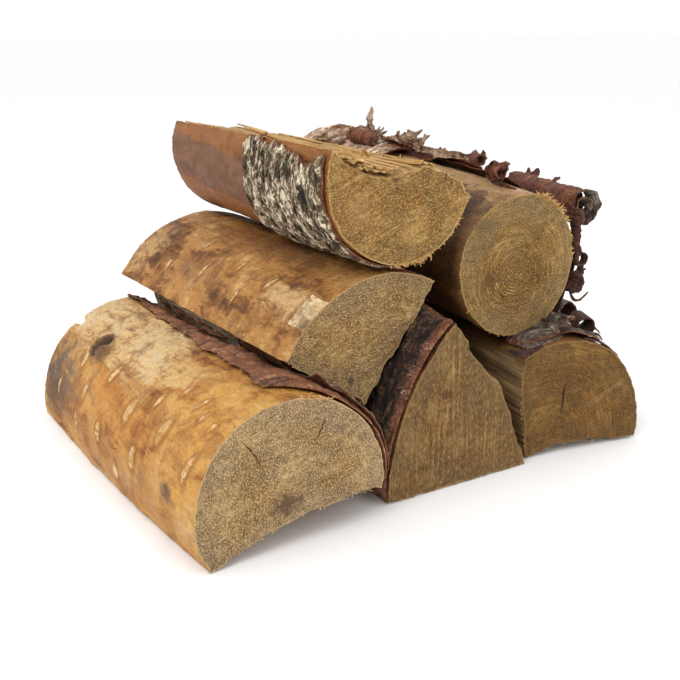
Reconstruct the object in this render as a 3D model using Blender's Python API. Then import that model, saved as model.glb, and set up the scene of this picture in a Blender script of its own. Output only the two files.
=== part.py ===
"""Six split birch logs stacked in three tiers, with the bark that still clings to them.

The logs lie along Y with their sawn ends at -Y and +Y, and the lowest three stand on z = 0.
Metres, +Z up. The origin is the middle of the footprint, on the ground.
"""
import math
from dataclasses import dataclass, field

import bmesh
import bpy
from mathutils import Vector
from mathutils.bvhtree import BVHTree

# Driving dimensions
LOG_LENGTH = 0.290
CLEARANCE = 0.0008
STATION_STEP = 0.034
ROUND_STEP = 0.0078

# Lumps fade out towards the ground and towards a section's corners
LUMP_FADE = 0.012
CORNER_FADE = 0.08

# Grids of the bark, and how near an edge of the wood a sheet's ragged edge may come
BARK_STATIONS = 10
BARK_COLUMNS = 9
EDGE_MARGIN = 0.015

# The roll's sheet: points on the wood and round the coil, stations along it, and the way it rises
ROLL_HELD = 6
ROLL_SIDES = 20
ROLL_STATIONS = 6
ROLL_LEAN = 0.25

# Waves of the wood's swellings: strength, times round the log, times along it, share of the log's phase
LUMP_WAVES = ((0.5, 3.0, 4.0, 1.0), (0.3, 8.0, -6.5, 2.0), (0.4, 2.0, 9.0, 1.0))

# Waves of a sheet's torn edges: strength and turns along it
TORN_WAVES = ((0.6, 17.0), (0.4, 41.0))
TORN_END_WAVE = 9.0

# An edge that bows less than this is straight, and the step that finds an outline's direction
STRAIGHT = 0.000001
DIRECTION_STEP = 0.01

# Faces that meet at more than this stay sharp
SHARP_DEGREES = 35

# How far above and below its drawn place a log is looked for when it is let down, and in how many steps
REST_REACH = 0.020
REST_HALVINGS = 12

# Colours as the wood and bark show them: fresh sawn wood, weathered wood, inner and outer bark
BARE_GOLD = (0.55, 0.30, 0.10)
BARE_BROWN = (0.42, 0.21, 0.075)
BARE_TAN = (0.40, 0.20, 0.09)
SPLIT_WOOD = (0.50, 0.33, 0.16)
BARK_WHITE = (0.42, 0.38, 0.33)
BARK_GREY = (0.24, 0.19, 0.15)
BARK_RED = (0.21, 0.085, 0.05)
WOOD_ROUGHNESS = 0.75
BARK_ROUGHNESS = 0.85


@dataclass
class Log:
    """A sawn length of trunk, round or split.

    near and far are its sections at the two ends, walked counterclockwise as seen from the near
    end: the x and z of each corner, then how far the edge that leaves it bows outward. The first
    edge is the bark side. saw is how much each sawn end leans along y for each metre of x, and bend
    how far the middle of its length lies aside and up of the straight line between its ends.
    """

    name: str
    near: tuple
    far: tuple
    near_y: float
    colour: tuple
    length: float = LOG_LENGTH
    saw: tuple = (0.0, 0.0)
    bend: tuple = (0.0, 0.0)
    lumps: float = 0.0009
    phase: float = 0.0
    barks: list = field(default_factory=list)
    rests_on: tuple = ()


@dataclass
class Bark:
    """A sheet of bark on a log's first edge.

    across is its reach as shares of that edge and along its reach as shares of the log's length.
    torn_near is the reach across at the near end, where the sheet is torn back over torn of its run.
    lift is how far it stands off the wood at its two long edges.
    """

    name: str
    across: tuple
    along: tuple
    thickness: float
    lift: tuple
    colour: tuple
    torn_near: tuple = None
    torn: float = 0.1
    ragged: float = 0.02


@dataclass
class Roll:
    """Bark that leaves the log's side and rolls up outward along its free edge.

    across is the reach on the wood, along its reach on the log. The sheet stands lift off the wood
    where it leaves it, then rises by rise, and coils to a radius that falls from outer to inner.
    """

    name: str
    across: tuple
    along: tuple
    thickness: float
    lift: float
    colour: tuple
    rise: float
    outer: float
    inner: float
    turns: float
    edge: int


def round_section(x, z, radius):
    """The outline of a whole round log, as two half circles."""
    return ((x + radius, z, radius), (x - radius, z, radius))


def moved(section, across):
    """A section moved across."""
    return tuple((x + across, z, bow) for x, z, bow in section)


# The right log's near section, which its far end repeats
RIGHT_SECTION = (
    (0.158, 0.001, 0.0405),
    (0.0575, 0.0735, 0.003),
    (0.064, 0.0, 0.0),
    (0.0915, 0.006, 0.0),
)

LOGS = (
    Log(
        name="front_left_log",
        near=((-0.075, 0.022, 0.0203), (-0.133, 0.0925, 0.0332), (-0.191, 0.0, -0.006)),
        far=((-0.0755, 0.0, 0.0190), (-0.119, 0.083, 0.0250), (-0.1920, 0.0, -0.003)),
        near_y=-0.165,
        length=0.296,
        bend=(-0.004, 0.0),
        colour=BARE_GOLD,
        phase=0.6,
        barks=[
            Bark(
                name="front_left_bark",
                across=(0.06, 0.985),
                along=(0.0, 1.0),
                torn_near=(0.06, 0.80),
                thickness=0.0036,
                lift=(0.0010, 0.0036),
                colour=BARK_RED,
            )
        ],
    ),
    Log(
        name="wedge_log",
        near=(
            (-0.0086, 0.1115, 0.0143),
            (-0.059, 0.0, 0.0),
            (0.057, 0.0, 0.002),
            (0.0291, 0.0665, -0.001),
        ),
        far=((0.036, 0.132, 0.0165), (-0.048, 0.0, 0.0), (0.090, 0.0, 0.002), (0.082, 0.0835, -0.001)),
        near_y=-0.149,
        colour=SPLIT_WOOD,
        phase=2.1,
        barks=[
            Bark(
                name="wedge_bark",
                across=(0.02, 0.96),
                along=(0.0, 1.0),
                thickness=0.0030,
                lift=(0.0030, 0.0015),
                colour=BARK_RED,
            )
        ],
    ),
    Log(
        name="right_log",
        near=RIGHT_SECTION,
        far=moved(RIGHT_SECTION, across=0.040),
        near_y=-0.157,
        saw=(-0.15, -0.15),
        colour=SPLIT_WOOD,
        phase=4.0,
        barks=[
            Bark(
                name="right_bark",
                across=(0.42, 0.97),
                along=(0.0, 0.95),
                thickness=0.0025,
                lift=(0.0015, 0.0015),
                colour=BARK_GREY,
            )
        ],
    ),
    Log(
        name="middle_log",
        near=((-0.0075, 0.136, 0.0254), (-0.118, 0.101, 0.0), (-0.061, 0.062, 0.001)),
        far=((0.0060, 0.133, 0.0260), (-0.1165, 0.100, 0.0), (-0.043, 0.052, 0.001)),
        near_y=-0.125,
        length=0.275,
        colour=BARE_BROWN,
        phase=1.3,
        rests_on=("front_left_log", "front_left_bark", "wedge_log", "wedge_bark"),
    ),
    Log(
        name="round_log",
        near=round_section(0.0667, 0.1313, 0.049),
        far=round_section(0.0900, 0.1490, 0.0515),
        near_y=-0.124,
        length=0.272,
        saw=(-0.05, -0.05),
        colour=BARE_TAN,
        phase=5.2,
        barks=[
            Bark(
                name="round_bark",
                across=(0.25, 0.86),
                along=(0.42, 1.0),
                thickness=0.0022,
                lift=(0.0015, 0.0034),
                colour=BARK_WHITE,
            ),
            Roll(
                name="round_bark_roll",
                across=(0.78, 0.98),
                along=(0.02, 0.36),
                edge=1,
                thickness=0.0012,
                lift=0.003,
                rise=0.040,
                outer=0.0078,
                inner=0.0045,
                turns=1.4,
                colour=BARK_RED,
            ),
        ],
        rests_on=("wedge_log", "right_log", "right_bark"),
    ),
    Log(
        name="top_log",
        near=(
            (-0.0892, 0.222, 0.0573),
            (0.0126, 0.189, 0.001),
            (-0.009, 0.2045, 0.0),
            (-0.0235, 0.209, -0.002),
            (-0.061, 0.206, -0.002),
        ),
        far=(
            (-0.0617, 0.217, 0.0573),
            (0.0401, 0.184, 0.001),
            (0.018, 0.202, 0.001),
            (0.004, 0.208, 0.001),
            (-0.034, 0.213, 0.001),
        ),
        near_y=-0.132,
        length=0.283,
        colour=BARE_TAN,
        phase=3.3,
        barks=[
            Bark(
                name="top_bark",
                across=(0.02, 0.60),
                along=(0.0, 0.43),
                thickness=0.0028,
                lift=(0.0012, 0.0012),
                colour=BARK_WHITE,
            )
        ],
        rests_on=("middle_log", "round_log", "round_bark"),
    ),
)


def clear_scene():
    """Removes what the scene holds."""
    for item in list(bpy.data.objects):
        bpy.data.objects.remove(item, do_unlink=True)


def material(name, colour, roughness):
    """A plain surface of that colour."""
    made = bpy.data.materials.new(name)
    made.use_nodes = True
    surface = made.node_tree.nodes["Principled BSDF"]
    surface.inputs["Base Color"].default_value = (*colour, 1.0)
    surface.inputs["Roughness"].default_value = roughness
    surface.inputs["Metallic"].default_value = 0.0
    return made


def mix(a, b, share):
    """The value that share of the way from a to b."""
    return a + (b - a) * share


def smooth(share):
    """Rises from 0 to 1 with level ends."""
    share = min(max(share, 0.0), 1.0)
    return share * share * (3.0 - 2.0 * share)


def bowed(start, end, bow, share):
    """The point that share of the way along the arc from start to end, which bows out by bow."""
    chord = end - start
    half = chord.length / 2
    if abs(bow) < STRAIGHT:
        return start.lerp(end, share)
    radius = (half * half + bow * bow) / (2 * bow)
    half_angle = 2 * math.atan(bow / half)
    angle = mix(-half_angle, half_angle, share)
    forward = chord.normalized()
    outward = Vector((forward.y, -forward.x))
    middle = (start + end) / 2
    return middle + forward * radius * math.sin(angle) + outward * (radius * math.cos(angle) - radius + bow)


def edge_length(log, edge):
    """The length of one edge of the near section."""
    corners = log.near
    start = Vector(corners[edge][:2])
    end = Vector(corners[(edge + 1) % len(corners)][:2])
    bow = corners[edge][2]
    half = (end - start).length / 2
    if abs(bow) < STRAIGHT:
        return 2 * half
    radius = abs(half * half + bow * bow) / (2 * abs(bow))
    return radius * 4 * math.atan(abs(bow) / half)


def section_point(log, edge, share, run):
    """The point on an edge of the log's section, run of the way from its near to its far end."""
    following = (edge + 1) % len(log.near)
    start = Vector(log.near[edge][:2]).lerp(Vector(log.far[edge][:2]), run)
    end = Vector(log.near[following][:2]).lerp(Vector(log.far[following][:2]), run)
    return bowed(start, end, mix(log.near[edge][2], log.far[edge][2], run), share)


def lump(log, around, run):
    """The slow swelling of the wood at a share of the way round and along."""
    turn = 2 * math.pi * around
    total = 0.0
    for strength, about, along, phase in LUMP_WAVES:
        total += strength * math.sin(about * turn + along * run + phase * log.phase)
    return log.lumps * total


def surface_point(log, edge, share, run, off=0.0):
    """The place on the log's skin, standing off it by off, in x, y and z."""
    before = section_point(log, edge, share - DIRECTION_STEP, run)
    after = section_point(log, edge, share + DIRECTION_STEP, run)
    forward = (after - before).normalized()
    outward = Vector((forward.y, -forward.x))
    flat = section_point(log, edge, share, run)
    bend = Vector(log.bend) * math.sin(math.pi * run)
    around = (edge + share) / len(log.near)
    fade = smooth(flat.y / LUMP_FADE) * smooth(share / CORNER_FADE) * smooth((1 - share) / CORNER_FADE)
    place = flat + bend + outward * (lump(log, around, run) * fade + off)
    lean = mix(log.saw[0], log.saw[1], run) * (flat.x - log.near[0][0])
    return Vector((place.x, log.near_y + log.length * run + lean, place.y))


def section_steps(log):
    """Where the points lie round a section: the edge and the share of it of each."""
    steps = []
    for edge in range(len(log.near)):
        count = max(2, round(edge_length(log, edge) / ROUND_STEP))
        steps += [(edge, i / count) for i in range(count)]
    return steps


def log_mesh(log):
    """The closed body of a log: rings along its length between two sawn ends."""
    bm = bmesh.new()
    steps = section_steps(log)
    stations = round(log.length / STATION_STEP)
    rings = []
    for i in range(stations + 1):
        places = [surface_point(log, edge, share, i / stations) for edge, share in steps]
        rings.append([bm.verts.new(place) for place in places])
    bridge_rings(bm, rings)
    bm.faces.new(rings[0])
    bm.faces.new(list(reversed(rings[-1])))
    return bm


def bridge_rings(bm, rings):
    """Quads between each ring and the next, right round."""
    for near, far in zip(rings, rings[1:]):
        for i in range(len(near)):
            j = (i + 1) % len(near)
            bm.faces.new((near[i], far[i], far[j], near[j]))


def sheet_mesh(inner, outer):
    """The closed body between two grids of points, joined round their rims."""
    bm = bmesh.new()
    under = [[bm.verts.new(place) for place in row] for row in inner]
    over = [[bm.verts.new(place) for place in row] for row in outer]
    rows = len(under)
    columns = len(under[0])
    for i in range(rows - 1):
        for j in range(columns - 1):
            bm.faces.new((over[i][j], over[i + 1][j], over[i + 1][j + 1], over[i][j + 1]))
            bm.faces.new((under[i][j], under[i][j + 1], under[i + 1][j + 1], under[i + 1][j]))
    rim = [(0, j) for j in range(columns - 1)]
    rim += [(i, columns - 1) for i in range(rows - 1)]
    rim += [(rows - 1, j) for j in range(columns - 1, 0, -1)]
    rim += [(i, 0) for i in range(rows - 1, 0, -1)]
    for k, (i, j) in enumerate(rim):
        m, n = rim[(k + 1) % len(rim)]
        bm.faces.new((under[i][j], over[i][j], over[m][n], under[m][n]))
    return bm


def bark_reach(bark, run):
    """The two long edges of a sheet at a share of its run, torn back near its near end."""
    first, last = bark.across
    if bark.torn_near:
        grown = smooth(run / bark.torn)
        first = mix(bark.torn_near[0], first, grown)
        last = mix(bark.torn_near[1], last, grown)
    wave = bark.ragged * sum(strength * math.sin(turns * run + 1.0) for strength, turns in TORN_WAVES)
    return max(first - wave, EDGE_MARGIN), min(last + wave, 1 - EDGE_MARGIN)


def bark_mesh(log, bark):
    """A sheet of bark that follows the log."""
    inner, outer = [], []
    for i in range(BARK_STATIONS):
        run = i / (BARK_STATIONS - 1)
        first, last = bark_reach(bark, run)
        inner.append([])
        outer.append([])
        for j in range(BARK_COLUMNS):
            aside = j / (BARK_COLUMNS - 1)
            share = mix(first, last, aside)
            torn = bark.ragged * math.sin(TORN_END_WAVE * aside + 2.0) * (run if bark.along[1] < 1.0 else 0.0)
            along = mix(bark.along[0], bark.along[1], run) + torn
            off = mix(bark.lift[0], bark.lift[1], aside)
            inner[-1].append(surface_point(log, 0, share, along, off))
            outer[-1].append(surface_point(log, 0, share, along, off + bark.thickness))
    return sheet_mesh(inner, outer)


def roll_path(log, roll, run):
    """The line of a rolled sheet's middle across the log: up its side, off it and round the coil."""
    line = []
    for i in range(ROLL_HELD + 1):
        share = mix(roll.across[0], roll.across[1], i / ROLL_HELD)
        off = mix(roll.lift / 3, roll.lift, i / ROLL_HELD)
        line.append(surface_point(log, roll.edge, share, run, off + roll.thickness / 2))
    start = line[-1]
    upward = Vector((ROLL_LEAN, 0.0, 1.0)).normalized()
    outward = Vector((upward.z, 0.0, -upward.x))
    top = start + upward * roll.rise
    centre = top + outward * roll.outer
    line.append(start.lerp(top, 0.5))
    for i in range(ROLL_SIDES + 1):
        share = i / ROLL_SIDES
        angle = share * roll.turns * 2 * math.pi
        radius = mix(roll.outer, roll.inner, share)
        line.append(centre - outward * radius * math.cos(angle) + upward * radius * math.sin(angle))
    return line


def roll_mesh(log, roll):
    """A sheet of bark that rolls up along its free edge."""
    inner, outer = [], []
    for i in range(ROLL_STATIONS):
        run = mix(roll.along[0], roll.along[1], i / (ROLL_STATIONS - 1))
        line = roll_path(log, roll, run)
        inner.append([])
        outer.append([])
        for j, place in enumerate(line):
            before = line[max(j - 1, 0)]
            after = line[min(j + 1, len(line) - 1)]
            forward = (after - before).normalized()
            side = Vector((forward.z, 0.0, -forward.x)) * roll.thickness / 2
            inner[-1].append(place - side)
            outer[-1].append(place + side)
    return sheet_mesh(inner, outer)


def build(name, bm, colour, roughness):
    """An object from a finished body, shaded smooth but for its sharp edges."""
    bmesh.ops.recalc_face_normals(bm, faces=bm.faces)
    mesh = bpy.data.meshes.new(name)
    bm.to_mesh(mesh)
    bm.free()
    mesh.materials.append(material(name, colour, roughness))
    mesh.shade_smooth()
    mesh.set_sharp_from_angle(angle=math.radians(SHARP_DEGREES))
    made = bpy.data.objects.new(name, mesh)
    bpy.context.scene.collection.objects.link(made)
    return made


def tree(pieces):
    """A search tree over the pieces' faces, where they stand."""
    places, faces = [], []
    for piece in pieces:
        first = len(places)
        places += [vertex.co.copy() for vertex in piece.data.vertices]
        faces += [[first + i for i in polygon.vertices] for polygon in piece.data.polygons]
    return BVHTree.FromPolygons(places, faces)


def shift(pieces, by):
    """Moves the pieces' meshes, so that their objects stay at the origin."""
    for piece in pieces:
        for vertex in piece.data.vertices:
            vertex.co += by


def let_down(group, below):
    """Lets the group down from above until it touches what lies below."""
    high, low = REST_REACH, -REST_REACH
    shift(group, Vector((0.0, 0.0, high)))
    at = high
    ground = tree(below)
    for _ in range(REST_HALVINGS):
        middle = (high + low) / 2
        shift(group, Vector((0.0, 0.0, middle - at)))
        at = middle
        if tree(group).overlap(ground):
            low = middle
        else:
            high = middle
    shift(group, Vector((0.0, 0.0, high + CLEARANCE - at)))


def centre_on_origin(pieces):
    """Puts the middle of the footprint at the origin and the lowest point at z = 0."""
    places = [vertex.co for piece in pieces for vertex in piece.data.vertices]
    low = Vector([min(place[axis] for place in places) for axis in range(3)])
    high = Vector([max(place[axis] for place in places) for axis in range(3)])
    shift(pieces, Vector((-(low.x + high.x) / 2, -(low.y + high.y) / 2, -low.z)))


def main():
    """Builds every log with its bark, then stacks them."""
    clear_scene()
    made = {}
    for log in LOGS:
        group = [build(log.name, log_mesh(log), log.colour, WOOD_ROUGHNESS)]
        for bark in log.barks:
            mesh = roll_mesh(log, bark) if isinstance(bark, Roll) else bark_mesh(log, bark)
            group.append(build(bark.name, mesh, bark.colour, BARK_ROUGHNESS))
        if log.rests_on:
            let_down(group, [made[name] for name in log.rests_on])
        made.update({piece.name: piece for piece in group})
    centre_on_origin(list(made.values()))


main()
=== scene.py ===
"""The looks of a stack of six birch logs: rough sawn ends, bare stained wood and peeling bark."""
import math

import bpy
import numpy as np
from mathutils import Euler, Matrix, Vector


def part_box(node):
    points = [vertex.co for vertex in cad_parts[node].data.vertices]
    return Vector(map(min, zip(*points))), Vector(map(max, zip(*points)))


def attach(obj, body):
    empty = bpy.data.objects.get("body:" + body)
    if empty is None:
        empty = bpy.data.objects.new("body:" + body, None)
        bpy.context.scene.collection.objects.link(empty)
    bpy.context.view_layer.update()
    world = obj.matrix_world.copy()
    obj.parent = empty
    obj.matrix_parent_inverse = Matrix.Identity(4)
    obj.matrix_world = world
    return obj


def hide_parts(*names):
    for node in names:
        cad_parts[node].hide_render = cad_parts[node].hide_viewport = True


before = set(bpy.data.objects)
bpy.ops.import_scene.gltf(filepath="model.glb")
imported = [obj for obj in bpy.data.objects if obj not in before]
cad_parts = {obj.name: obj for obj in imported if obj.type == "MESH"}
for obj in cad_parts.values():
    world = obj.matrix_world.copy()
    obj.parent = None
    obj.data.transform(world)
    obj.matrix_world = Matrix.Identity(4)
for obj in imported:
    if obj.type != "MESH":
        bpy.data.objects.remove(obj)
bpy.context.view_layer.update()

# The photo's view, which is the camera's: its place, turn, lens and sensor, and the photo's side in pixels
VIEW_PLACE = (-0.39496, -0.61083, 0.2875)
VIEW_TURN = (math.radians(72.8), 0.0, math.radians(-32.6))
VIEW_LENS, VIEW_SENSOR = 52.94, 36.0
PHOTO_SIDE = 680

# The logs' outlines at their near and far ends: x, z and the bow of the edge that leaves each corner
LOGS = {
    "front_left_log": dict(
        near=((-0.075, 0.022, 0.0203), (-0.133, 0.0925, 0.0332), (-0.191, 0.0, -0.006)),
        far=((-0.0755, 0.0, 0.0190), (-0.119, 0.083, 0.0250), (-0.1920, 0.0, -0.003)),
        near_y=-0.165, length=0.296, bend=(-0.004, 0.0), phase=0.6,
        pith=(-0.128, 0.030), bark_edges=(0, 1), slot="bare_wood", seed=11,
        scars=(
            ((0.488, 0.391), (0.0105, 0.0052), 0.16), ((0.478, 0.211), (0.0100, 0.0048), 0.20),
            ((0.555, 0.311), (0.0085, 0.0042), 0.10), ((0.567, 0.518), (0.0085, 0.0040), -0.15),
            ((0.455, 0.560), (0.0090, 0.0036), 0.25), ((0.470, 0.750), (0.0100, 0.0036), 0.10),
            ((0.402, 0.150), (0.0065, 0.0020), 0.45), ((0.418, 0.105), (0.0060, 0.0018), 0.45),
            ((0.425, 0.060), (0.0060, 0.0020), 0.40), ((0.560, 0.850), (0.0085, 0.0034), 0.0),
            ((0.590, 0.680), (0.0075, 0.0034), -0.1), ((0.500, 0.060), (0.0100, 0.0032), 0.20),
            ((0.440, 0.300), (0.0075, 0.0026), 0.30), ((0.520, 0.660), (0.0080, 0.0030), 0.10),
            ((0.400, 0.230), (0.0060, 0.0020), 0.40), ((0.610, 0.400), (0.0070, 0.0034), 0.0),
        ),
        knots=(((0.428, 0.730), (0.0115, 0.0125), 0.0100), ((0.440, 0.676), (0.0080, 0.0090), -0.0032),
               ((0.556, 0.117), (0.0060, 0.0075), 0.0008)),
        notch=(0.419, 0.0170, 0.0045),
    ),
    "wedge_log": dict(
        near=((-0.0086, 0.1115, 0.0143), (-0.059, 0.0, 0.0), (0.057, 0.0, 0.002), (0.0291, 0.0665, -0.001)),
        far=((0.036, 0.132, 0.0165), (-0.048, 0.0, 0.0), (0.090, 0.0, 0.002), (0.082, 0.0835, -0.001)),
        near_y=-0.149, length=0.290, phase=2.1,
        pith=(0.075, 0.02), bark_edges=(0,), slot="split_wood", seed=23,
    ),
    "right_log": dict(
        near=((0.158, 0.001, 0.0405), (0.0575, 0.0735, 0.003), (0.064, 0.0, 0.0), (0.0915, 0.006, 0.0)),
        far=((0.198, 0.001, 0.0405), (0.0975, 0.0735, 0.003), (0.104, 0.0, 0.0), (0.1315, 0.006, 0.0)),
        near_y=-0.157, length=0.290, saw=-0.15, phase=4.0,
        pith=(0.082, 0.012), bark_edges=(0,), slot="split_wood", seed=37,
    ),
    "middle_log": dict(
        near=((-0.0075, 0.136, 0.0254), (-0.118, 0.101, 0.0), (-0.061, 0.062, 0.001)),
        far=((0.0060, 0.133, 0.0260), (-0.1165, 0.100, 0.0), (-0.043, 0.052, 0.001)),
        near_y=-0.125, length=0.275, phase=1.3,
        pith=(-0.045, 0.055), bark_edges=(0,), slot="bare_wood", seed=41,
        scars=(
            ((0.300, 0.42), (0.0075, 0.0020), 0.1), ((0.345, 0.56), (0.0085, 0.0022), 0.1),
            ((0.285, 0.66), (0.0070, 0.0018), 0.3), ((0.370, 0.76), (0.0075, 0.0024), 0.0),
            ((0.375, 0.33), (0.0070, 0.0020), 0.1), ((0.310, 0.24), (0.0080, 0.0022), 0.2),
        ),
    ),
    "round_log": dict(
        near=((0.1157, 0.1313, 0.049), (0.0177, 0.1313, 0.049)),
        far=((0.1415, 0.1490, 0.0515), (0.0385, 0.1490, 0.0515)),
        near_y=-0.124, length=0.272, saw=-0.05, phase=5.2,
        pith=(0.0632, 0.1265), bark_edges=(0, 1), slot="bare_wood", seed=59,
    ),
    "top_log": dict(
        near=((-0.0892, 0.222, 0.0573), (0.0126, 0.189, 0.001), (-0.009, 0.2045, 0.0),
              (-0.0235, 0.209, -0.002), (-0.061, 0.206, -0.002)),
        far=((-0.0617, 0.217, 0.0573), (0.0401, 0.184, 0.001), (0.018, 0.202, 0.001),
             (0.004, 0.208, 0.001), (-0.034, 0.213, 0.001)),
        near_y=-0.132, length=0.283, phase=3.3,
        pith=(-0.035, 0.214), bark_edges=(0,), slot="bare_wood", seed=67,
    ),
}

# Grids of a log: points round it, stations along it, and rings across its two sawn ends
AROUND = 264
ALONG = 108
NEAR_RINGS = 30
FAR_RINGS = 12
END_STEPS = np.array([0.0, 0.0018, 0.005])

# Materials of a log by their place in its list
SAWN, SKIN, SPLIT = 0, 1, 2

# Small sizes in metres: the lowest point of a piece, the bow of a straight edge, the swelling of the wood,
# and the step and the angle in radians of the saw's marks
LOWEST = 0.0002
STRAIGHT = 0.000001
SWELL = 0.0009
SAW_WAVE, SAW_ANGLE = 0.0052, 0.5

# The value of a place that lies in no scar
NO_SCAR = -3.0

# Edges of the bark sheets: the share of the log's length, and metres round the log
TOP_BARK_EDGE = ((0.0, 0.006), (0.05, 0.005), (0.09, 0.011), (0.13, 0.002), (0.19, 0.007), (0.28, 0.003),
                 (0.38, 0.0), (0.45, 0.006))
RED_STRIP_EDGE = ((0.0, 0.074), (0.02, 0.082), (0.05, 0.098), (0.08, 0.1136), (0.2, 0.1075), (0.36, 0.1065),
                  (0.6, 0.1065), (1.0, 0.103))
OUTER_STRIP_EDGE = ((0.0, 0.070), (0.117, 0.0769), (0.234, 0.079), (0.388, 0.078), (0.508, 0.0925),
                    (0.75, 0.092), (0.967, 0.0835))

# Torn fibres on the rims of the sawn ends: the stretch in metres round the log, how many, how long, how curly
FRAYED_RIMS = (
    ("top_log", 0.095, 0.130, 70, 0.0050, 0.3), ("top_log", 0.130, 0.174, 60, 0.0030, 0.2),
    ("top_log", 0.000, 0.030, 20, 0.0020, 0.2), ("round_log", 0.030, 0.066, 90, 0.0055, 0.35),
    ("round_log", 0.000, 0.030, 30, 0.0030, 0.4), ("round_log", 0.070, 0.250, 70, 0.0022, 0.2),
    ("front_left_log", 0.240, 0.350, 50, 0.0020, 0.2), ("front_left_log", 0.110, 0.230, 30, 0.0016, 0.2),
    ("wedge_log", 0.130, 0.250, 50, 0.0024, 0.3), ("middle_log", 0.060, 0.200, 50, 0.0018, 0.2),
    ("right_log", 0.150, 0.300, 30, 0.0018, 0.2), ("front_left_log", 0.080, 0.100, 25, 0.0040, 0.5),
)

# The lamps: name, place, side in metres and power, and the place that they all face
LAMPS = (("key", (-1.5, -0.9, 1.5), 0.8, 18.0), ("top", (-0.2, 0.3, 1.9), 1.2, 4.0),
         ("front", (0.3, -1.7, 0.8), 1.2, 3.0))
LIT_PLACE = (0.0, 0.0, 0.1)


# Noise

def lattice(ix, iy, iz, seed):
    """A fixed random value from -1 to 1 for each point of a lattice."""
    mixed = (ix * 374761393 + iy * 668265263 + iz * 1103515245 + seed * 1274126177) & 0xFFFFFFFF
    mixed = ((mixed ^ (mixed >> 13)) * 1274126177) & 0xFFFFFFFF
    return ((mixed ^ (mixed >> 16)) & 0xFFFF) / 32767.5 - 1.0


def noise(place, seed):
    """Smooth noise from -1 to 1 at each place, with one bump to a unit."""
    cell = np.floor(place).astype(np.int64)
    part = place - cell
    part = part * part * (3.0 - 2.0 * part)
    total = 0.0
    for dx in (0, 1):
        wx = part[..., 0] if dx else 1.0 - part[..., 0]
        for dy in (0, 1):
            wy = part[..., 1] if dy else 1.0 - part[..., 1]
            for dz in (0, 1):
                wz = part[..., 2] if dz else 1.0 - part[..., 2]
                value = lattice(cell[..., 0] + dx, cell[..., 1] + dy, cell[..., 2] + dz, seed)
                total = total + value * wx * wy * wz
    return total


def layered(place, seed, octaves=3, gain=0.5):
    """Noise of several sizes, each about half the one before."""
    total, strength, size = 0.0, 1.0, 1.0
    for octave in range(octaves):
        total = total + strength * noise(place * size, seed + 97 * octave)
        strength *= gain
        size *= 2.03
    return total


def smooth(share):
    """Rises from 0 to 1 with level ends."""
    share = np.clip(share, 0.0, 1.0)
    return share * share * (3.0 - 2.0 * share)


def unit(vectors):
    """Vectors of length one with the same directions."""
    vectors = np.asarray(vectors, float)
    return vectors / np.linalg.norm(vectors, axis=-1, keepdims=True)


def flat_field(grid):
    """A grid of vectors as one list of them."""
    return grid.reshape(-1, 3)


def vectors(*parts):
    """Vectors from their x, y and z."""
    return np.stack(np.broadcast_arrays(*(np.asarray(part, float) for part in parts)), -1)


# The logs' own surfaces

def bowed(start, end, bow, share):
    """Points that share of the way along the arcs from start to end, which bow out by bow."""
    chord = end - start
    length = np.linalg.norm(chord, axis=-1)
    forward = chord / length[..., None]
    outward = np.stack([forward[..., 1], -forward[..., 0]], -1)
    bow = np.where(np.abs(bow) < STRAIGHT, STRAIGHT, bow)
    half = length / 2
    radius = (half * half + bow * bow) / (2 * bow)
    half_angle = 2 * np.arctan(bow / half)
    angle = half_angle * (2 * share - 1)
    aside = radius * np.sin(angle)
    out = radius * np.cos(angle) - radius + bow
    return (start + end) / 2 + forward * aside[..., None] + outward * out[..., None]


def section(log, edge, share, run):
    """Points on the edges of the log's section, run of the way from its near to its far end."""
    near, far = np.array(log["near"]), np.array(log["far"])
    after = (edge + 1) % len(near)
    k = run[..., None]
    start = near[edge, :2] * (1 - k) + far[edge, :2] * k
    end = near[after, :2] * (1 - k) + far[after, :2] * k
    bow = near[edge, 2] * (1 - run) + far[edge, 2] * run
    return bowed(start, end, bow, share)


def lump(log, around, run):
    """The slow swelling of the wood."""
    turn = 2 * math.pi * around
    total = 0.0
    for strength, about, along, phase in ((0.5, 3.0, 4.0, 1.0), (0.3, 8.0, -6.5, 2.0), (0.4, 2.0, 9.0, 1.0)):
        total = total + strength * np.sin(about * turn + along * run + phase * log["phase"])
    return SWELL * total


def surface(log, edge, share, run, off=0.0):
    """Places on the log's skin that stand off it by off, and the way out there."""
    edge, share, run = np.broadcast_arrays(np.asarray(edge), np.asarray(share, float), np.asarray(run, float))
    forward = unit(section(log, edge, share + 0.01, run) - section(log, edge, share - 0.01, run))
    outward = np.stack([forward[..., 1], -forward[..., 0]], -1)
    flat = section(log, edge, share, run)
    around = (edge + share) / len(log["near"])
    fade = smooth(flat[..., 1] / 0.012) * smooth(share / 0.08) * smooth((1 - share) / 0.08)
    bend = np.array(log.get("bend", (0.0, 0.0))) * np.sin(math.pi * np.clip(run, 0, 1))[..., None]
    place = flat + bend + outward * (lump(log, around, run) * fade + off)[..., None]
    lean = log.get("saw", 0.0) * (flat[..., 0] - log["near"][0][0])
    y = log["near_y"] + log["length"] * run + lean
    full = np.stack([place[..., 0], y, place[..., 1]], -1) + log.get("shift", 0.0)
    way = np.stack([outward[..., 0], np.zeros_like(y), outward[..., 1]], -1)
    return full, way


def edge_sizes(log):
    """The length of each edge of the near section."""
    share = np.linspace(0, 1, 60)
    sizes = []
    for edge in range(len(log["near"])):
        line = section(log, np.full(60, edge), share, np.zeros(60))
        sizes.append(np.linalg.norm(np.diff(line, axis=0), axis=1).sum())
    return sizes


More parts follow.
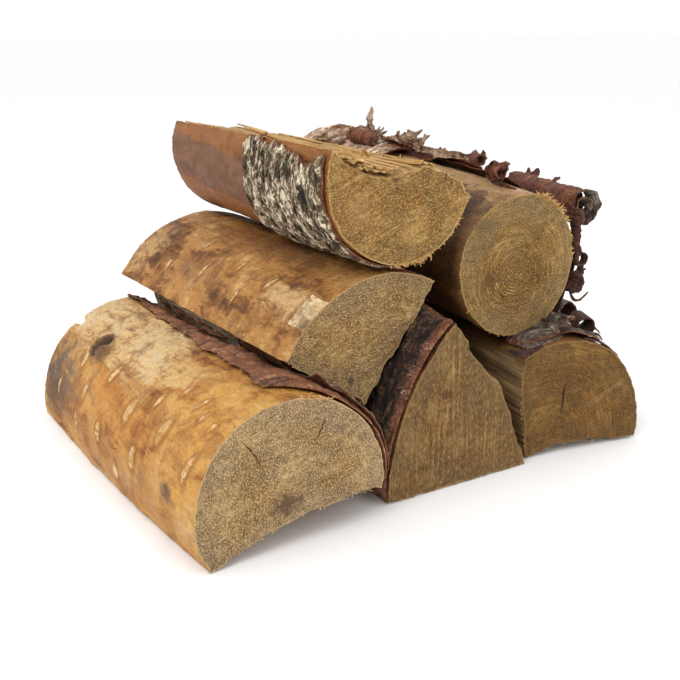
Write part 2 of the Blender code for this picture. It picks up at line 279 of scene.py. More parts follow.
def ring_points(log):
    """Where the points lie round a section: edge, share of it, and the way round in metres."""
    sizes = edge_sizes(log)
    edges, shares, ways = [], [], []
    walked = 0.0
    for edge, size in enumerate(sizes):
        count = max(4, round(AROUND * size / sum(sizes)))
        share = np.arange(count) / count
        edges.append(np.full(count, edge))
        shares.append(share)
        ways.append(walked + size * share)
        walked += size
    return np.concatenate(edges), np.concatenate(shares), np.concatenate(ways), sizes


def place_log(name, log):
    """Finds the shift from the outline's own coordinates to the log's place in the stack."""
    edge, share, _, _ = ring_points(log)
    run = np.linspace(0, 1, 12)[:, None]
    places, _ = surface(log, edge[None, :], share[None, :], run)
    low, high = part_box(name)
    log["shift"] = (np.array(low) - places.min((0, 1)) + np.array(high) - places.max((0, 1))) / 2


def new_piece(name, places, faces, attributes, materials, node=None, face_material=None, sharp=60):
    """A piece on the one body, with its attributes, materials and crisp edges."""
    places = np.array(places, float)
    places[:, 2] = np.maximum(places[:, 2], LOWEST)
    mesh = bpy.data.meshes.new(name)
    mesh.from_pydata(places.tolist(), [], faces)
    for key, values in attributes.items():
        values = np.asarray(values, np.float32)
        kind = "FLOAT" if values.ndim == 1 else "FLOAT_VECTOR"
        layer = mesh.attributes.new(key, kind, "POINT")
        layer.data.foreach_set("value" if kind == "FLOAT" else "vector", values.ravel())
    for material in materials:
        mesh.materials.append(material)
    if face_material is not None:
        mesh.polygons.foreach_set("material_index", np.asarray(face_material, np.int32))
    mesh.shade_smooth()
    mesh.set_sharp_from_angle(angle=math.radians(sharp))
    mesh.validate()
    made = bpy.data.objects.new(name, mesh)
    bpy.context.scene.collection.objects.link(made)
    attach(made, "root")
    if node:
        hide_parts(node)


def grain_of(log, places):
    """Coordinates in the wood: across from the pith, up from it, and along the log."""
    run = (places[..., 1] - log["near_y"]) / log["length"]
    near, far = np.array(log["near"])[:, :2].mean(0), np.array(log["far"])[:, :2].mean(0)
    drift = (far - near) * np.clip(run, 0, 1)[..., None]
    shift = log["shift"]
    x = places[..., 0] - shift[0] - log["pith"][0] - drift[..., 0]
    z = places[..., 2] - shift[2] - log["pith"][1] - drift[..., 1]
    return np.stack([x, z, places[..., 1]], -1)


def lens(around, along, centre, size, tilt=0.0):
    """How deep a point lies in a lens-shaped mark: 1 at its middle, 0 at its rim, less outside."""
    across, run = around - centre[0], along - centre[1]
    a = across * math.cos(tilt) + run * math.sin(tilt)
    b = -across * math.sin(tilt) + run * math.cos(tilt)
    return 1.0 - (a / size[0]) ** 2 - (np.abs(b) / size[1]) ** 1.6


def relief(log, grain, edge, way, run, sizes):
    """How far the wood stands out of its plain outline, and the marks on it."""
    seed, length, girth = log["seed"], log["length"], sum(sizes)
    walked = np.concatenate([[0.0], np.cumsum(sizes)])
    corner = smooth(np.minimum(way - walked[edge], walked[edge + 1] - way) / 0.003)
    fibre = layered(grain * (330, 330, 9), seed, 3)
    torn = layered(grain * (120, 120, 7), seed + 5, 3)
    step = np.abs(noise(grain * (70, 70, 5), seed + 9))
    split = 0.00045 * fibre + 0.0009 * torn - 0.0016 * smooth(step * 1.6)
    skin = 0.0005 * layered(grain * (28, 28, 14), seed + 3, 3) + 0.00010 * fibre
    out = np.where(np.isin(edge, log["bark_edges"]), skin, split) * corner
    scar = np.full(way.shape, NO_SCAR)
    dark = np.zeros(way.shape)
    for centre, size, tilt in log.get("scars", ()):
        middle = (centre[0] * girth, centre[1] * length)
        bent = run * length + 18.0 * (way - middle[0]) ** 2
        scar = np.maximum(scar, lens(way, bent, middle, size, tilt))
    out = out + 0.0008 * smooth(scar * 1.6) - 0.0005 * smooth(scar + 1.6) * smooth(-scar * 1.2)
    for centre, size, hollow in log.get("knots", ()):
        mark = lens(way, run * length, (centre[0] * girth, centre[1] * length), size)
        out = out + 0.0016 * smooth((mark + 2.0) / 2.4) - hollow * smooth(mark * 1.6)
        dark = np.maximum(dark, smooth((mark + 0.5) / 1.2) * (1.0 if hollow > 0.001 else 0.45))
    if "notch" in log:
        centre, reach, width = log["notch"]
        near_end = smooth((run - 1) * length / reach + 1.0)
        out = out - 0.007 * near_end * smooth(1.2 - np.abs(way - centre * girth) / width)
    return out, scar, dark


def wander(places, seed):
    """A slow and a fine drift of every point, the same for all that pass one place."""
    slow = np.stack([layered(places * 55, seed + k, 2) for k in (1, 2, 3)], -1)
    fine = np.stack([noise(places * 420, seed + k) for k in (4, 5, 6)], -1)
    return slow * np.array([0.0006, 0.0004, 0.0006]) + fine * 0.00022


def sawn_end(log, rim, near):
    """Rings of points across a sawn end, from inside its rim to its middle, with the saw's marks."""
    rings = NEAR_RINGS if near else FAR_RINGS
    level = (np.arange(1, rings) / rings)[:, None, None]
    disc = rim[None] * (1 - level) + rim.mean(0) * level
    grain = grain_of(log, disc)
    rough = 0.00036 * layered(grain * (560, 560, 0), log["seed"] + 31, 2)
    hollow = 0.0006 * layered(grain * (45, 45, 0), log["seed"] + 33, 2)
    crossing = grain[..., 0] * math.sin(SAW_ANGLE) - grain[..., 1] * math.cos(SAW_ANGLE)
    waves = 0.00016 * np.sin(crossing * 2 * math.pi / SAW_WAVE + 2.5 * noise(grain * (40, 40, 0), 7))
    push = (rough + waves) * smooth(level[..., 0] * rings / 2.0) + hollow * smooth(level[..., 0] * 5)
    disc[..., 1] += -push if near else push
    return disc


def log_piece(name, log, materials):
    """The whole surface of a log: its skin and split faces, and its two sawn ends."""
    place_log(name, log)
    edge, share, way, sizes = ring_points(log)
    count = len(edge)
    inner = np.linspace(0.012, 0.988, ALONG - 2 * len(END_STEPS))
    run = np.concatenate([END_STEPS, inner, 1.0 - END_STEPS[::-1]])
    stations = len(run)
    e, s, w = (np.broadcast_to(values, (stations, count)) for values in (edge, share, way))
    r = np.broadcast_to(run[:, None], (stations, count))
    plain, out_way = surface(log, e, s, r)
    grain = grain_of(log, plain)
    out, scar, dark = relief(log, grain, e, w, r, sizes)
    frayed = np.exp(-np.minimum(r, 1 - r) * log["length"] / 0.0016)
    out = out - frayed * (0.0005 + 0.0004 * noise(grain * (700, 700, 40), log["seed"] + 21))
    places = plain + out_way * out[..., None] + wander(plain, log["seed"])
    parts, grains, depths = [flat_field(places)], [flat_field(grain)], [np.zeros(stations * count)]
    index = np.arange(stations * count).reshape(stations, count)
    following = np.roll(index, -1, axis=1)
    faces = np.stack([index[:-1], index[1:], following[1:], following[:-1]], -1).reshape(-1, 4).tolist()
    kind = np.where(np.isin(edge, log["bark_edges"]), SKIN, SPLIT)
    kinds = np.broadcast_to(kind, (stations - 1, count)).ravel().tolist()
    start = stations * count
    for near in (True, False):
        row = 0 if near else stations - 1
        rim = places[row]
        middle = rim.mean(0)
        disc = sawn_end(log, rim, near)
        inside = flat_field(disc)
        parts += [inside, middle[None]]
        grains += [grain_of(log, inside), grain_of(log, middle[None])]
        depths += [np.linalg.norm(disc - rim, axis=-1).ravel(), [np.linalg.norm(rim - middle, axis=1).mean()]]
        rings = np.concatenate([index[row][None], start + np.arange(len(inside)).reshape(-1, count)])
        after = np.roll(rings, -1, axis=1)
        centre = start + len(inside)
        quads = np.stack([rings[:-1], after[:-1], after[1:], rings[1:]], -1)
        fans = np.stack([rings[-1], after[-1], np.full(count, centre)], -1)
        if not near:
            quads, fans = quads[..., ::-1], fans[:, ::-1]
        faces += quads.reshape(-1, 4).tolist() + fans.tolist()
        kinds += [SAWN] * (quads.size // 4 + count)
        start = centre + 1
    total = np.concatenate(parts)
    pad = len(total) - stations * count
    wrap, share_map = vectors(w, r * log["length"], 0), vectors(w / sum(sizes), r, 0)
    attributes = {
        "grain": np.concatenate(grains),
        "wrap": np.concatenate([flat_field(wrap), np.zeros((pad, 3))]),
        "share": np.concatenate([flat_field(share_map), np.zeros((pad, 3))]),
        "depth": np.concatenate(depths),
        "scar": np.concatenate([scar.ravel(), np.full(pad, NO_SCAR)]),
        "dark": np.concatenate([dark.ravel(), np.zeros(pad)]),
    }
    new_piece(name + "_wood", total, faces, attributes, materials, name, kinds, 50)


# Materials

class Surface:
    """A material under construction: its colour so far, and short names for the nodes it is made of."""

    def __init__(self, name):
        self.material = bpy.data.materials.new(name)
        self.material.use_nodes = True
        self.tree = self.material.node_tree
        self.shader = self.tree.nodes["Principled BSDF"]
        self.shader.inputs["Metallic"].default_value = 0.0
        self.shader.inputs["Specular IOR Level"].default_value = 0.3
        self.colour = None

    def node(self, kind, **settings):
        made = self.tree.nodes.new(kind)
        for key, value in settings.items():
            setattr(made, key, value)
        return made

    def feed(self, socket, value):
        if isinstance(value, bpy.types.NodeSocket):
            self.tree.links.new(value, socket)
        elif isinstance(value, tuple) and len(value) == 3 and socket.type == "RGBA":
            socket.default_value = (*value, 1.0)
        else:
            socket.default_value = value

    def attribute(self, name, vector=False):
        made = self.node("ShaderNodeAttribute", attribute_type="GEOMETRY", attribute_name=name)
        return made.outputs["Vector" if vector else "Fac"]

    def vector_math(self, operation, vector, other):
        made = self.node("ShaderNodeVectorMath", operation=operation)
        self.feed(made.inputs[0], vector)
        self.feed(made.inputs[1], other)
        return made.outputs[0]

    def parts(self, vector):
        """The x, y and z of a vector."""
        made = self.node("ShaderNodeSeparateXYZ")
        self.feed(made.inputs[0], vector)
        return tuple(made.outputs)

    def joined(self, x, y=0.0):
        made = self.node("ShaderNodeCombineXYZ")
        self.feed(made.inputs[0], x)
        self.feed(made.inputs[1], y)
        return made.outputs[0]

    def turned(self, vector, angle):
        made = self.node("ShaderNodeVectorRotate", rotation_type="Z_AXIS")
        self.feed(made.inputs["Vector"], vector)
        made.inputs["Angle"].default_value = angle
        return made.outputs[0]

    def noise(self, vector, bumps, detail=3.0, rough=0.55, distortion=0.0, output="Fac"):
        """Noise with so many bumps to a unit along each axis."""
        made = self.node("ShaderNodeTexNoise")
        self.feed(made.inputs["Vector"], self.vector_math("MULTIPLY", vector, bumps) if bumps else vector)
        made.inputs["Scale"].default_value = 1.0
        made.inputs["Detail"].default_value = detail
        made.inputs["Roughness"].default_value = rough
        made.inputs["Distortion"].default_value = distortion
        return made.outputs[output]

    def warped(self, vector, guide, bumps, detail, reach):
        """A vector that wanders to and fro with a noise at the guide, by half of reach each way."""
        drift = self.noise(guide, bumps, detail, output="Color")
        drift = self.vector_math("ADD", drift, (-0.5, -0.5, -0.5))
        return self.vector_math("ADD", vector, self.vector_math("MULTIPLY", drift, reach))

    def cells(self, vector, bumps):
        made = self.node("ShaderNodeTexVoronoi", feature="F1")
        self.feed(made.inputs["Vector"], self.vector_math("MULTIPLY", vector, bumps))
        made.inputs["Scale"].default_value = 1.0
        return made.outputs["Distance"]

    def math(self, operation, a, b=0.0, c=0.0):
        made = self.node("ShaderNodeMath", operation=operation)
        for socket, value in zip(made.inputs, (a, b, c)):
            self.feed(socket, value)
        return made.outputs[0]

    def plus(self, a, b):
        return self.math("ADD", a, b)

    def minus(self, a, b):
        return self.math("SUBTRACT", a, b)

    def times(self, a, b):
        return self.math("MULTIPLY", a, b)

    def over(self, a, b):
        return self.math("DIVIDE", a, b)

    def size(self, value):
        return self.math("ABSOLUTE", value)

    def length(self, x, y):
        return self.math("SQRT", self.plus(self.times(x, x), self.times(y, y)))

    def stirred(self, value, *layers):
        """A value, plus each layer's difference from a half times its weight."""
        for layer, weight in layers:
            value = self.plus(value, self.math("MULTIPLY_ADD", layer, weight, -0.5 * weight))
        return value

    def span(self, value, low, high, to_low=0.0, to_high=1.0):
        """Goes smoothly from to_low to to_high as the value goes from low to high."""
        made = self.node("ShaderNodeMapRange", interpolation_type="SMOOTHSTEP")
        for key, number in enumerate((value, low, high, to_low, to_high)):
            self.feed(made.inputs[key], number)
        return made.outputs[0]

    def lines(self, layer, width):
        """Thin lines where a layer of noise passes a half."""
        return self.span(self.size(self.minus(layer, 0.5)), width, 0.0)

    def ramp(self, value, *stops):
        made = self.node("ShaderNodeValToRGB")
        self.feed(made.inputs[0], value)
        elements = made.color_ramp.elements
        while len(elements) < len(stops):
            elements.new(0.5)
        for element, (place, colour) in zip(elements, stops):
            element.position = place
            element.color = (*linear(colour), 1.0)
        return made.outputs[0]

    def mix(self, share, a, b):
        made = self.node("ShaderNodeMix", data_type="RGBA")
        self.feed(made.inputs["Factor"], share)
        for key, value in ((6, a), (7, b)):
            self.feed(made.inputs[key], linear(value) if isinstance(value, tuple) else value)
        return made.outputs[2]

    def paint(self, mask, tint, strength=1.0):
        """Covers the colour so far with a tint, as far as the mask and the strength say."""
        share = mask if strength == 1.0 else self.times(mask, strength)
        self.colour = self.mix(share, self.colour, tint)

    def finish(self, roughness, height=None, depth=0.001, strength=1.0):
        self.feed(self.shader.inputs["Base Color"], self.colour)
        self.feed(self.shader.inputs["Roughness"], roughness)
        if height is not None:
            bump = self.node("ShaderNodeBump")
            bump.inputs["Strength"].default_value = strength
            bump.inputs["Distance"].default_value = depth
            self.feed(bump.inputs["Height"], height)
            self.tree.links.new(bump.outputs[0], self.shader.inputs["Normal"])
        return self.material


def linear(colour):
    """A colour as the eye numbers it, 0 to 255, turned into linear light."""
    shares = [value / 255 for value in colour]
    return tuple(v / 12.92 if v <= 0.04045 else ((v + 0.055) / 1.055) ** 2.4 for v in shares)


def shade(colour, *factors):
    """A colour times one factor, or with a factor for each of its three parts."""
    return tuple(part * factor for part, factor in zip(colour, factors * 3))


def segment(s, vector, start, end, width):
    """A mask round the line from start to end, in the plane of the wood's section."""
    x, y, _ = s.parts(vector)
    size = math.dist(start, end)
    dx, dy = (end[0] - start[0]) / size, (end[1] - start[1]) / size
    px, py = s.minus(x, start[0]), s.minus(y, start[1])
    along = s.plus(s.times(px, dx), s.times(py, dy))
    aside = s.size(s.minus(s.times(px, dy), s.times(py, dx)))
    taper = s.times(s.span(along, -0.002, size * 0.3), s.span(along, size + 0.002, size * 0.5))
    return s.times(s.span(aside, width, width * 0.3), taper)


def spot(s, vector, centre, size):
    """A round mask in the plane of a vector's first two parts: 1 at its centre, 0 at its rim."""
    x, y, _ = s.parts(vector)
    return s.minus(1.0, s.length(s.over(s.minus(x, centre[0]), size[0]),
                                 s.over(s.minus(y, centre[1]), size[1])))


def cut_wood(name, light, middle, dark, rim, streak=(0.0, 0.0), rings=0.5, ring_size=0.0021, speck=1.0,
             stains=(), cracks=(), bands=(), fringe=0.5, pith_rings=0.0):
    """A rough sawn end: speckled cut fibres, faint year rings and rays, saw marks, stains and cracks.

    streak is the angle and the strength of the torn fibres, and rings, speck, fringe and pith_rings are the
    strengths of the year rings, the specks, the grey rim and the sharp rings round the pith.
    """
    s = Surface(name)
    grain = s.attribute("grain", True)
    across = s.vector_math("MULTIPLY", grain, (1.0, 1.0, 0.0))
    far_end = s.times(s.math("SIGN", s.parts(grain)[2]), 0.21)
    flat = s.vector_math("ADD", across, s.joined(far_end))
    bent = s.warped(across, flat, (26, 26, 0), 3, (0.014, 0.014, 0))
    x, z, _ = s.parts(bent)
    radius = s.length(x, z)
    turn = s.math("ARCTAN2", z, x)
    ring = s.noise(s.joined(s.times(turn, 1.6), s.times(radius, 1.0 / ring_size)), None, 2, 0.6)
    rays = s.noise(s.joined(s.times(turn, 60), s.times(radius, 130)), None, 3, 0.6)
    torn = s.turned(flat, streak[0])
    specks = s.noise(torn, (860 - 790 * streak[1], 1120, 0), 3, 0.75)
    grit = s.noise(flat, (1700, 1700, 0), 2, 0.7)
    coarse = s.noise(flat, (190, 190, 0), 3, 0.6)
    lines = s.noise(torn, (20, 460, 0), 3, 0.65)
    broad = s.noise(flat, (28, 28, 0), 5, 0.62)
    tone = s.stirred(0.5, (coarse, 0.8 * speck), (rays, 0.25), (lines, 2.0 * streak[1]), (ring, rings),
                     (broad, 1.3), (grit, 1.0))
    s.colour = s.ramp(tone, (0.04, dark), (0.48, middle), (0.94, light))
    grey = s.mix(s.span(coarse, 0.35, 0.65), shade(rim, 0.78), rim)
    s.paint(s.span(s.noise(flat, (22, 22, 0), 4, 0.6), 0.44, 0.60), grey, 0.32)
    s.paint(s.span(s.noise(flat, (34, 34, 0), 4, 0.62), 0.50, 0.66), shade(middle, 1.06, 0.93, 0.74), 0.45)
    depth = s.attribute("depth")
    s.paint(s.span(s.stirred(depth, (broad, 0.05), (coarse, 0.010)), 0.026, 0.002), grey, fringe)
    s.paint(s.span(specks, 0.53, 0.60), light, min(0.95, 0.95 * speck))
    s.paint(s.span(specks, 0.46, 0.37), dark, min(0.9, 0.58 * speck))
    if pith_rings:
        wave = s.math("SINE", s.times(radius, 2 * math.pi / (ring_size * 0.95)))
        wave = s.span(s.math("MULTIPLY_ADD", wave, 0.5, 0.5), 0.45, 0.95)
        near_pith = s.times(s.span(radius, 0.044, 0.012), s.span(coarse, 0.34, 0.52))
        s.paint(s.times(wave, near_pith), dark, pith_rings)
    s.paint(s.span(depth, 0.0012, 0.0003), light, 0.6)
    for start, end, width, tint, strength in bands:
        s.paint(s.times(segment(s, bent, start, end, width), s.span(coarse, 0.30, 0.60)), tint, strength)
    for centre, size, tint, strength in stains:
        area = s.stirred(spot(s, across, centre, size), (broad, 2.6), (coarse, 2.2))
        s.paint(s.span(area, 0.05, 0.45), tint, strength)
    height = s.stirred(0.5, (specks, 1.5), (grit, 0.8), (coarse, 1.1), (ring, 0.3 * rings),
                       (lines, 1.4 * streak[1]))
    for start, end, width in cracks:
        crack = segment(s, bent, start, end, width)
        s.paint(crack, (38, 26, 17), 0.92)
        height = s.minus(height, s.times(crack, 1.5))
    return s.finish(s.span(specks, 0.3, 0.7, 0.95, 0.75), height, 0.0013)


def skin_wood(name, pale, gold, brown, stain, pale_band=None, dark_spots=(), specks=1.0, roughness=0.5,
              contrast=1.0, blots=0.5, patches=(), pale_rim=0.0):
    """Bare wood from under the bark: satin, blotched brown, with pale lens-shaped scars.

    pale_band, dark_spots and patches are placed by the share of the way round the log and along it. specks,
    contrast, blots and pale_rim are strengths.
    """
    s = Surface(name)
    straight, share = s.attribute("wrap", True), s.attribute("share", True)
    wrap = s.warped(straight, straight, (55, 40, 1), 3, (0.010, 0.013, 0))
    soft = s.noise(wrap, (26, 15, 1), 5, 0.58, 0.5)
    mottle = s.noise(wrap, (95, 58, 1), 6, 0.7, 0.4)
    fibre = s.noise(wrap, (900, 26, 1), 3, 0.6)
    smear = s.noise(wrap, (190, 20, 1), 5, 0.68)
    around = s.noise(wrap, (22, 150, 1), 5, 0.65)
    crumb = s.noise(wrap, (420, 260, 1), 4, 0.72)
    tone = s.stirred(0.5, (soft, 1.9 * contrast), (mottle, contrast), (smear, 0.7 * contrast),
                     (around, 0.55 * contrast), (fibre, 0.30), (crumb, 0.6))
    s.colour = s.ramp(tone, (0.0, shade(brown, 0.62)), (0.24, brown), (0.50, gold), (0.66, gold),
                      (0.98, pale))
    round_it, along_it, _ = s.parts(share)
    if pale_band:
        centre, width, length = pale_band
        aside = s.stirred(s.size(s.minus(round_it, centre)), (mottle, 0.26))
        reach = s.stirred(along_it, (soft, 0.9))
        cream = s.ramp(s.stirred(0.5, (fibre, 0.7), (smear, 1.6), (mottle, 1.6), (soft, 1.2)),
                       (0.0, (134, 102, 70)), (0.26, (184, 146, 102)), (0.44, pale), (0.85, (214, 191, 150)))
        s.paint(s.times(s.span(aside, width, width * 0.45), s.span(reach, length, length + 0.25)), cream,
                0.92)
    for centre, size, tint, strength in dark_spots:
        s.paint(s.span(s.stirred(spot(s, share, centre, size), (mottle, 3.2)), -0.1, 0.7), tint, strength)
    for centre, size, lean, tint in patches:
        aside = s.plus(round_it, s.math("MULTIPLY_ADD", along_it, -lean, lean * centre[1] - centre[0]))
        ahead = s.over(s.size(s.minus(along_it, centre[1])), size[1])
        edge = s.math("MAXIMUM", s.over(s.size(aside), size[0]), ahead)
        area = s.stirred(s.minus(s.math("MULTIPLY_ADD", soft, 1.1, 0.45), edge), (smear, 0.3))
        s.paint(s.span(area, 0.0, 0.03), s.mix(s.span(mottle, 0.35, 0.65), shade(tint, 0.8), tint), 0.9)
        s.paint(s.span(s.size(area), 0.045, 0.0), brown, 0.55)
    if pale_rim:
        worn = s.stirred(s.parts(straight)[1], (smear, 0.016))
        s.paint(s.span(worn, 0.014, 0.002), pale, pale_rim)
    blot = s.noise(wrap, (52, 40, 1), 6, 0.72, 0.5)
    s.paint(s.span(blot, 0.51, 0.59), brown, blots)
    s.paint(s.span(blot, 0.60, 0.68), stain, blots)
    rust = s.span(s.noise(wrap, (60, 44, 1), 5, 0.7, 0.8), 0.56, 0.63)
    s.paint(rust, shade(gold, 0.86, 0.74, 0.50), 0.6 * blots)
    vein = s.lines(s.noise(wrap, (70, 34, 1), 3, 0.6, 1.2), 0.009)
    s.paint(s.times(vein, s.span(crumb, 0.46, 0.56)), stain, 0.6 * specks)
    hair = s.lines(s.noise(wrap, (190, 120, 1), 3, 0.6, 1.5), 0.014)
    s.paint(s.times(hair, s.span(mottle, 0.50, 0.58)), stain, 0.35 * specks)
    dots = s.span(s.cells(wrap, (230, 170, 1)), 0.24, 0.10)
    s.paint(s.times(dots, s.span(mottle, 0.52, 0.60)), stain, 0.6 * specks)
    scar = s.stirred(s.attribute("scar"), (crumb, 1.6))
    s.paint(s.times(s.span(scar, -2.2, -0.3), s.span(scar, 0.45, 0.0)), brown, 0.6)
    s.paint(s.span(scar, 0.0, 0.45), s.mix(s.span(smear, 0.38, 0.62), (182, 132, 74), (232, 202, 146)), 0.82)
    s.paint(s.span(scar, 0.75, 1.15), brown, 0.45)
    hole = s.stirred(s.attribute("dark"), (crumb, 0.9))
    s.paint(s.span(hole, 0.0, 0.22), (128, 94, 58), 0.7)
    s.paint(s.span(hole, 0.22, 0.60), (92, 66, 44))
    s.paint(s.span(hole, 0.60, 0.92), (34, 25, 18))
    height = s.stirred(0.5, (fibre, 0.35), (mottle, 1.2), (smear, 0.7), (crumb, 1.3), (around, 0.6))
    return s.finish(s.span(tone, 0.2, 0.9, roughness + 0.18, roughness - 0.03), height, 0.0016, 0.9)


def split_wood(name, light, middle, dark, grey=0.3):
    """A split face: long torn fibres with brown and grey streaks."""
    s = Surface(name)
    grain = s.attribute("grain", True)
    fine = s.noise(grain, (1100, 1100, 20), 3, 0.6)
    streak = s.noise(grain, (300, 300, 6), 5, 0.62)
    broad = s.noise(grain, (50, 50, 9), 4, 0.6)
    tone = s.stirred(0.5, (fine, 1.2), (streak, 2.2), (broad, 1.4))
    s.colour = s.ramp(tone, (0.05, dark), (0.40, middle), (0.60, middle), (0.95, light))
    s.paint(s.span(s.noise(grain, (60, 60, 12), 4, 0.6), 0.45, 0.6), (112, 98, 78), grey)
    s.paint(s.lines(s.noise(grain, (140, 140, 5), 3, 0.6), 0.012), shade(dark, 0.45), 0.75)
    return s.finish(0.82, s.stirred(0.5, (fine, 1.0), (streak, 1.6)), 0.0012, 0.9)


def outer_bark(name, white, olive, black, pink=0.25, torn=0.004, contrast=1.0, threads=0.0):
    """The outside of birch bark: papery white and grey with black cracks, red where it is torn."""
    s = Surface(name)
    wrap = s.attribute("wrap", True)
    bent = s.warped(wrap, wrap, (80, 80, 1), 4, (0.014, 0.014, 0))
    streak = s.noise(bent, (130, 480, 1), 5, 0.72)
    patch = s.noise(bent, (80, 120, 1), 5, 0.7)
    cloud = s.noise(wrap, (34, 40, 1), 4, 0.6)
    flake = s.noise(bent, (600, 1300, 1), 3, 0.65)
    tone = s.stirred(0.5, (streak, 1.7 * contrast), (patch, 2.0 * contrast), (cloud, 1.2), (flake, 1.3))
    tone = s.plus(tone, s.times(s.attribute("relief"), 0.16))
    half = tuple(0.5 * (a + b) for a, b in zip(black, olive))
    lightest = tuple(min(245, 1.12 * value) for value in white)
    s.colour = s.ramp(tone, (0.14, black), (0.34, half), (0.48, olive), (0.64, olive), (0.78, white),
                      (1.0, lightest))
    rosy = s.span(s.noise(wrap, (44, 80, 1), 4, 0.65), 0.50, 0.64)
    s.paint(s.times(rosy, s.span(tone, 0.4, 0.8)), (205, 165, 150), pink)
    s.paint(s.span(s.noise(bent, (180, 300, 1), 3, 0.6), 0.60, 0.68), (104, 58, 42), 0.8 * pink)
    inner = s.ramp(s.stirred(0.5, (streak, 1.4), (flake, 0.8), (patch, 1.0)),
                   (0.12, (40, 23, 16)), (0.45, (102, 60, 40)), (0.88, (166, 108, 74)))
    reach = s.stirred(s.attribute("depth"), (patch, 0.016))
    s.paint(s.math("MAXIMUM", s.span(reach, torn, torn * 0.4), s.attribute("inner")), inner)
    if threads:
        thread = s.lines(s.noise(bent, (260, 70, 1), 3, 0.6, 0.8), 0.016)
        s.paint(s.times(thread, s.span(cloud, 0.42, 0.55)), (158, 136, 114), threads)
    return s.finish(0.8, s.stirred(0.5, (streak, 1.2), (flake, 0.9), (patch, 1.0)), 0.0016)


def inner_bark(name, dark, middle, light, grey_share=0.2):
    """The red-brown inside of birch bark, with darker lines round the trunk."""
    s = Surface(name)
    wrap = s.attribute("wrap", True)
    band = s.noise(wrap, (16, 280, 1), 5, 0.65)
    patch = s.noise(wrap, (70, 70, 1), 5, 0.7, 0.5)
    fine = s.noise(wrap, (500, 900, 1), 3, 0.6)
    flaky = s.noise(wrap, (240, 160, 1), 4, 0.7, 0.3)
    tone = s.stirred(0.5, (band, 2.0), (patch, 1.8), (fine, 0.9))
    s.colour = s.ramp(tone, (0.06, dark), (0.42, middle), (0.62, middle), (0.98, light))
    s.paint(s.span(s.noise(wrap, (42, 60, 1), 4, 0.65), 0.53, 0.64), (118, 104, 92), grey_share)
    s.paint(s.span(flaky, 0.44, 0.34), shade(dark, 0.7), 0.7)
    s.paint(s.span(flaky, 0.56, 0.68), light, 0.5)
    return s.finish(0.7, s.stirred(0.5, (band, 1.0), (fine, 0.7), (patch, 1.0), (flaky, 1.3)), 0.0012, 0.9)


# Bark

class Heap:
    """Closed sheets and strips that become one piece."""

    def __init__(self):
        self.places, self.faces, self.wraps = [], [], []
        self.marks = {"relief": [], "depth": [], "inner": []}
        self.count = 0

    def add(self, under, over, wrap, relief=(0.0, 0.0), depth=(0.0, 0.02), inner=(1.0, 0.0)):
        """A closed sheet between two grids of points, with its marks below and above."""
        rows, columns = under.shape[:2]
        size = rows * columns
        index = np.arange(size).reshape(rows, columns) + self.count
        top = index + size
        faces = np.stack([top[:-1, :-1], top[1:, :-1], top[1:, 1:], top[:-1, 1:]], -1).reshape(-1, 4)
        back = np.stack([index[:-1, :-1], index[:-1, 1:], index[1:, 1:], index[1:, :-1]], -1).reshape(-1, 4)
        rim = np.concatenate([index[0, :-1], index[:-1, -1], index[-1, :0:-1], index[:0:-1, 0]])
        after = np.roll(rim, -1)
        sides = np.stack([rim, rim + size, after + size, after], -1)
        self.faces += np.concatenate([faces, back, sides]).tolist()
        self.places += [flat_field(under), flat_field(over)]
        self.wraps += [flat_field(wrap)] * 2
        for key, pair in (("relief", relief), ("depth", depth), ("inner", inner)):
            self.marks[key] += [np.broadcast_to(value, (rows, columns)).ravel() for value in pair]
        self.count += 2 * size

    def ribbon(self, line, aside, width, thickness, cup=0.0, columns=5, seed=0, ragged=0.15, crumple=0.0):
        """A strip along a line: aside points across it, and its width may vary along it."""
        line = np.asarray(line, float)
        n = len(line)
        width = np.broadcast_to(np.asarray(width, float), (n,))
        forward = unit(np.gradient(line, axis=0))
        aside = np.broadcast_to(np.asarray(aside, float), (n, 3))
        aside = unit(aside - forward * (aside * forward).sum(1)[:, None])
        normal = np.cross(forward, aside)
        k = np.linspace(-1, 1, columns)[None, :]
        steps = np.arange(n)[:, None] + 0 * k
        rim_noise = layered(vectors(steps * 0.30, np.sign(k) * 1.5, 0), seed + 3, 3, 0.6)
        across = k * 0.5 * width[:, None] * (1 + ragged * rim_noise)
        bow = cup * (k ** 2 - 0.5) + crumple * layered(vectors(steps * 0.35, k * 1.6, 0), seed + 5, 2)
        bow = bow * width[:, None]
        middle = line[:, None, :] + aside[:, None, :] * across[..., None]
        middle = middle + normal[:, None, :] * bow[..., None]
        half = normal[:, None, :] * (0.5 * thickness)
        wrap = vectors(walked_along(line)[:, None], across + 0.37 * seed, 0.11 * seed)
        self.add(middle - half, middle + half, wrap)

    def build(self, name, material, node=None):
        """Makes the one piece of all the strips."""
        attributes = {key: np.concatenate(values) for key, values in self.marks.items()}
        attributes["wrap"] = np.concatenate(self.wraps)
        attributes["grain"] = attributes["wrap"][:, [1, 2, 0]]
        new_piece(name, np.concatenate(self.places), self.faces, attributes, [material], node)


def walked_along(line):
    """The distance along a line from its start to each of its points."""
    return np.concatenate([[0], np.cumsum(np.linalg.norm(np.diff(line, axis=0), axis=1))])


def on_log(log, way, run, off):
    """Places way metres round a log and run of the way along it, standing off its skin."""
    ends = np.concatenate([[0.0], np.cumsum(edge_sizes(log))])
    way = np.mod(way, ends[-1])
    edge = np.clip(np.searchsorted(ends, way, side="right") - 1, 0, len(ends) - 2)
    share = (way - ends[edge]) / (ends[edge + 1] - ends[edge])
    return surface(log, edge, share, run, off)[0]


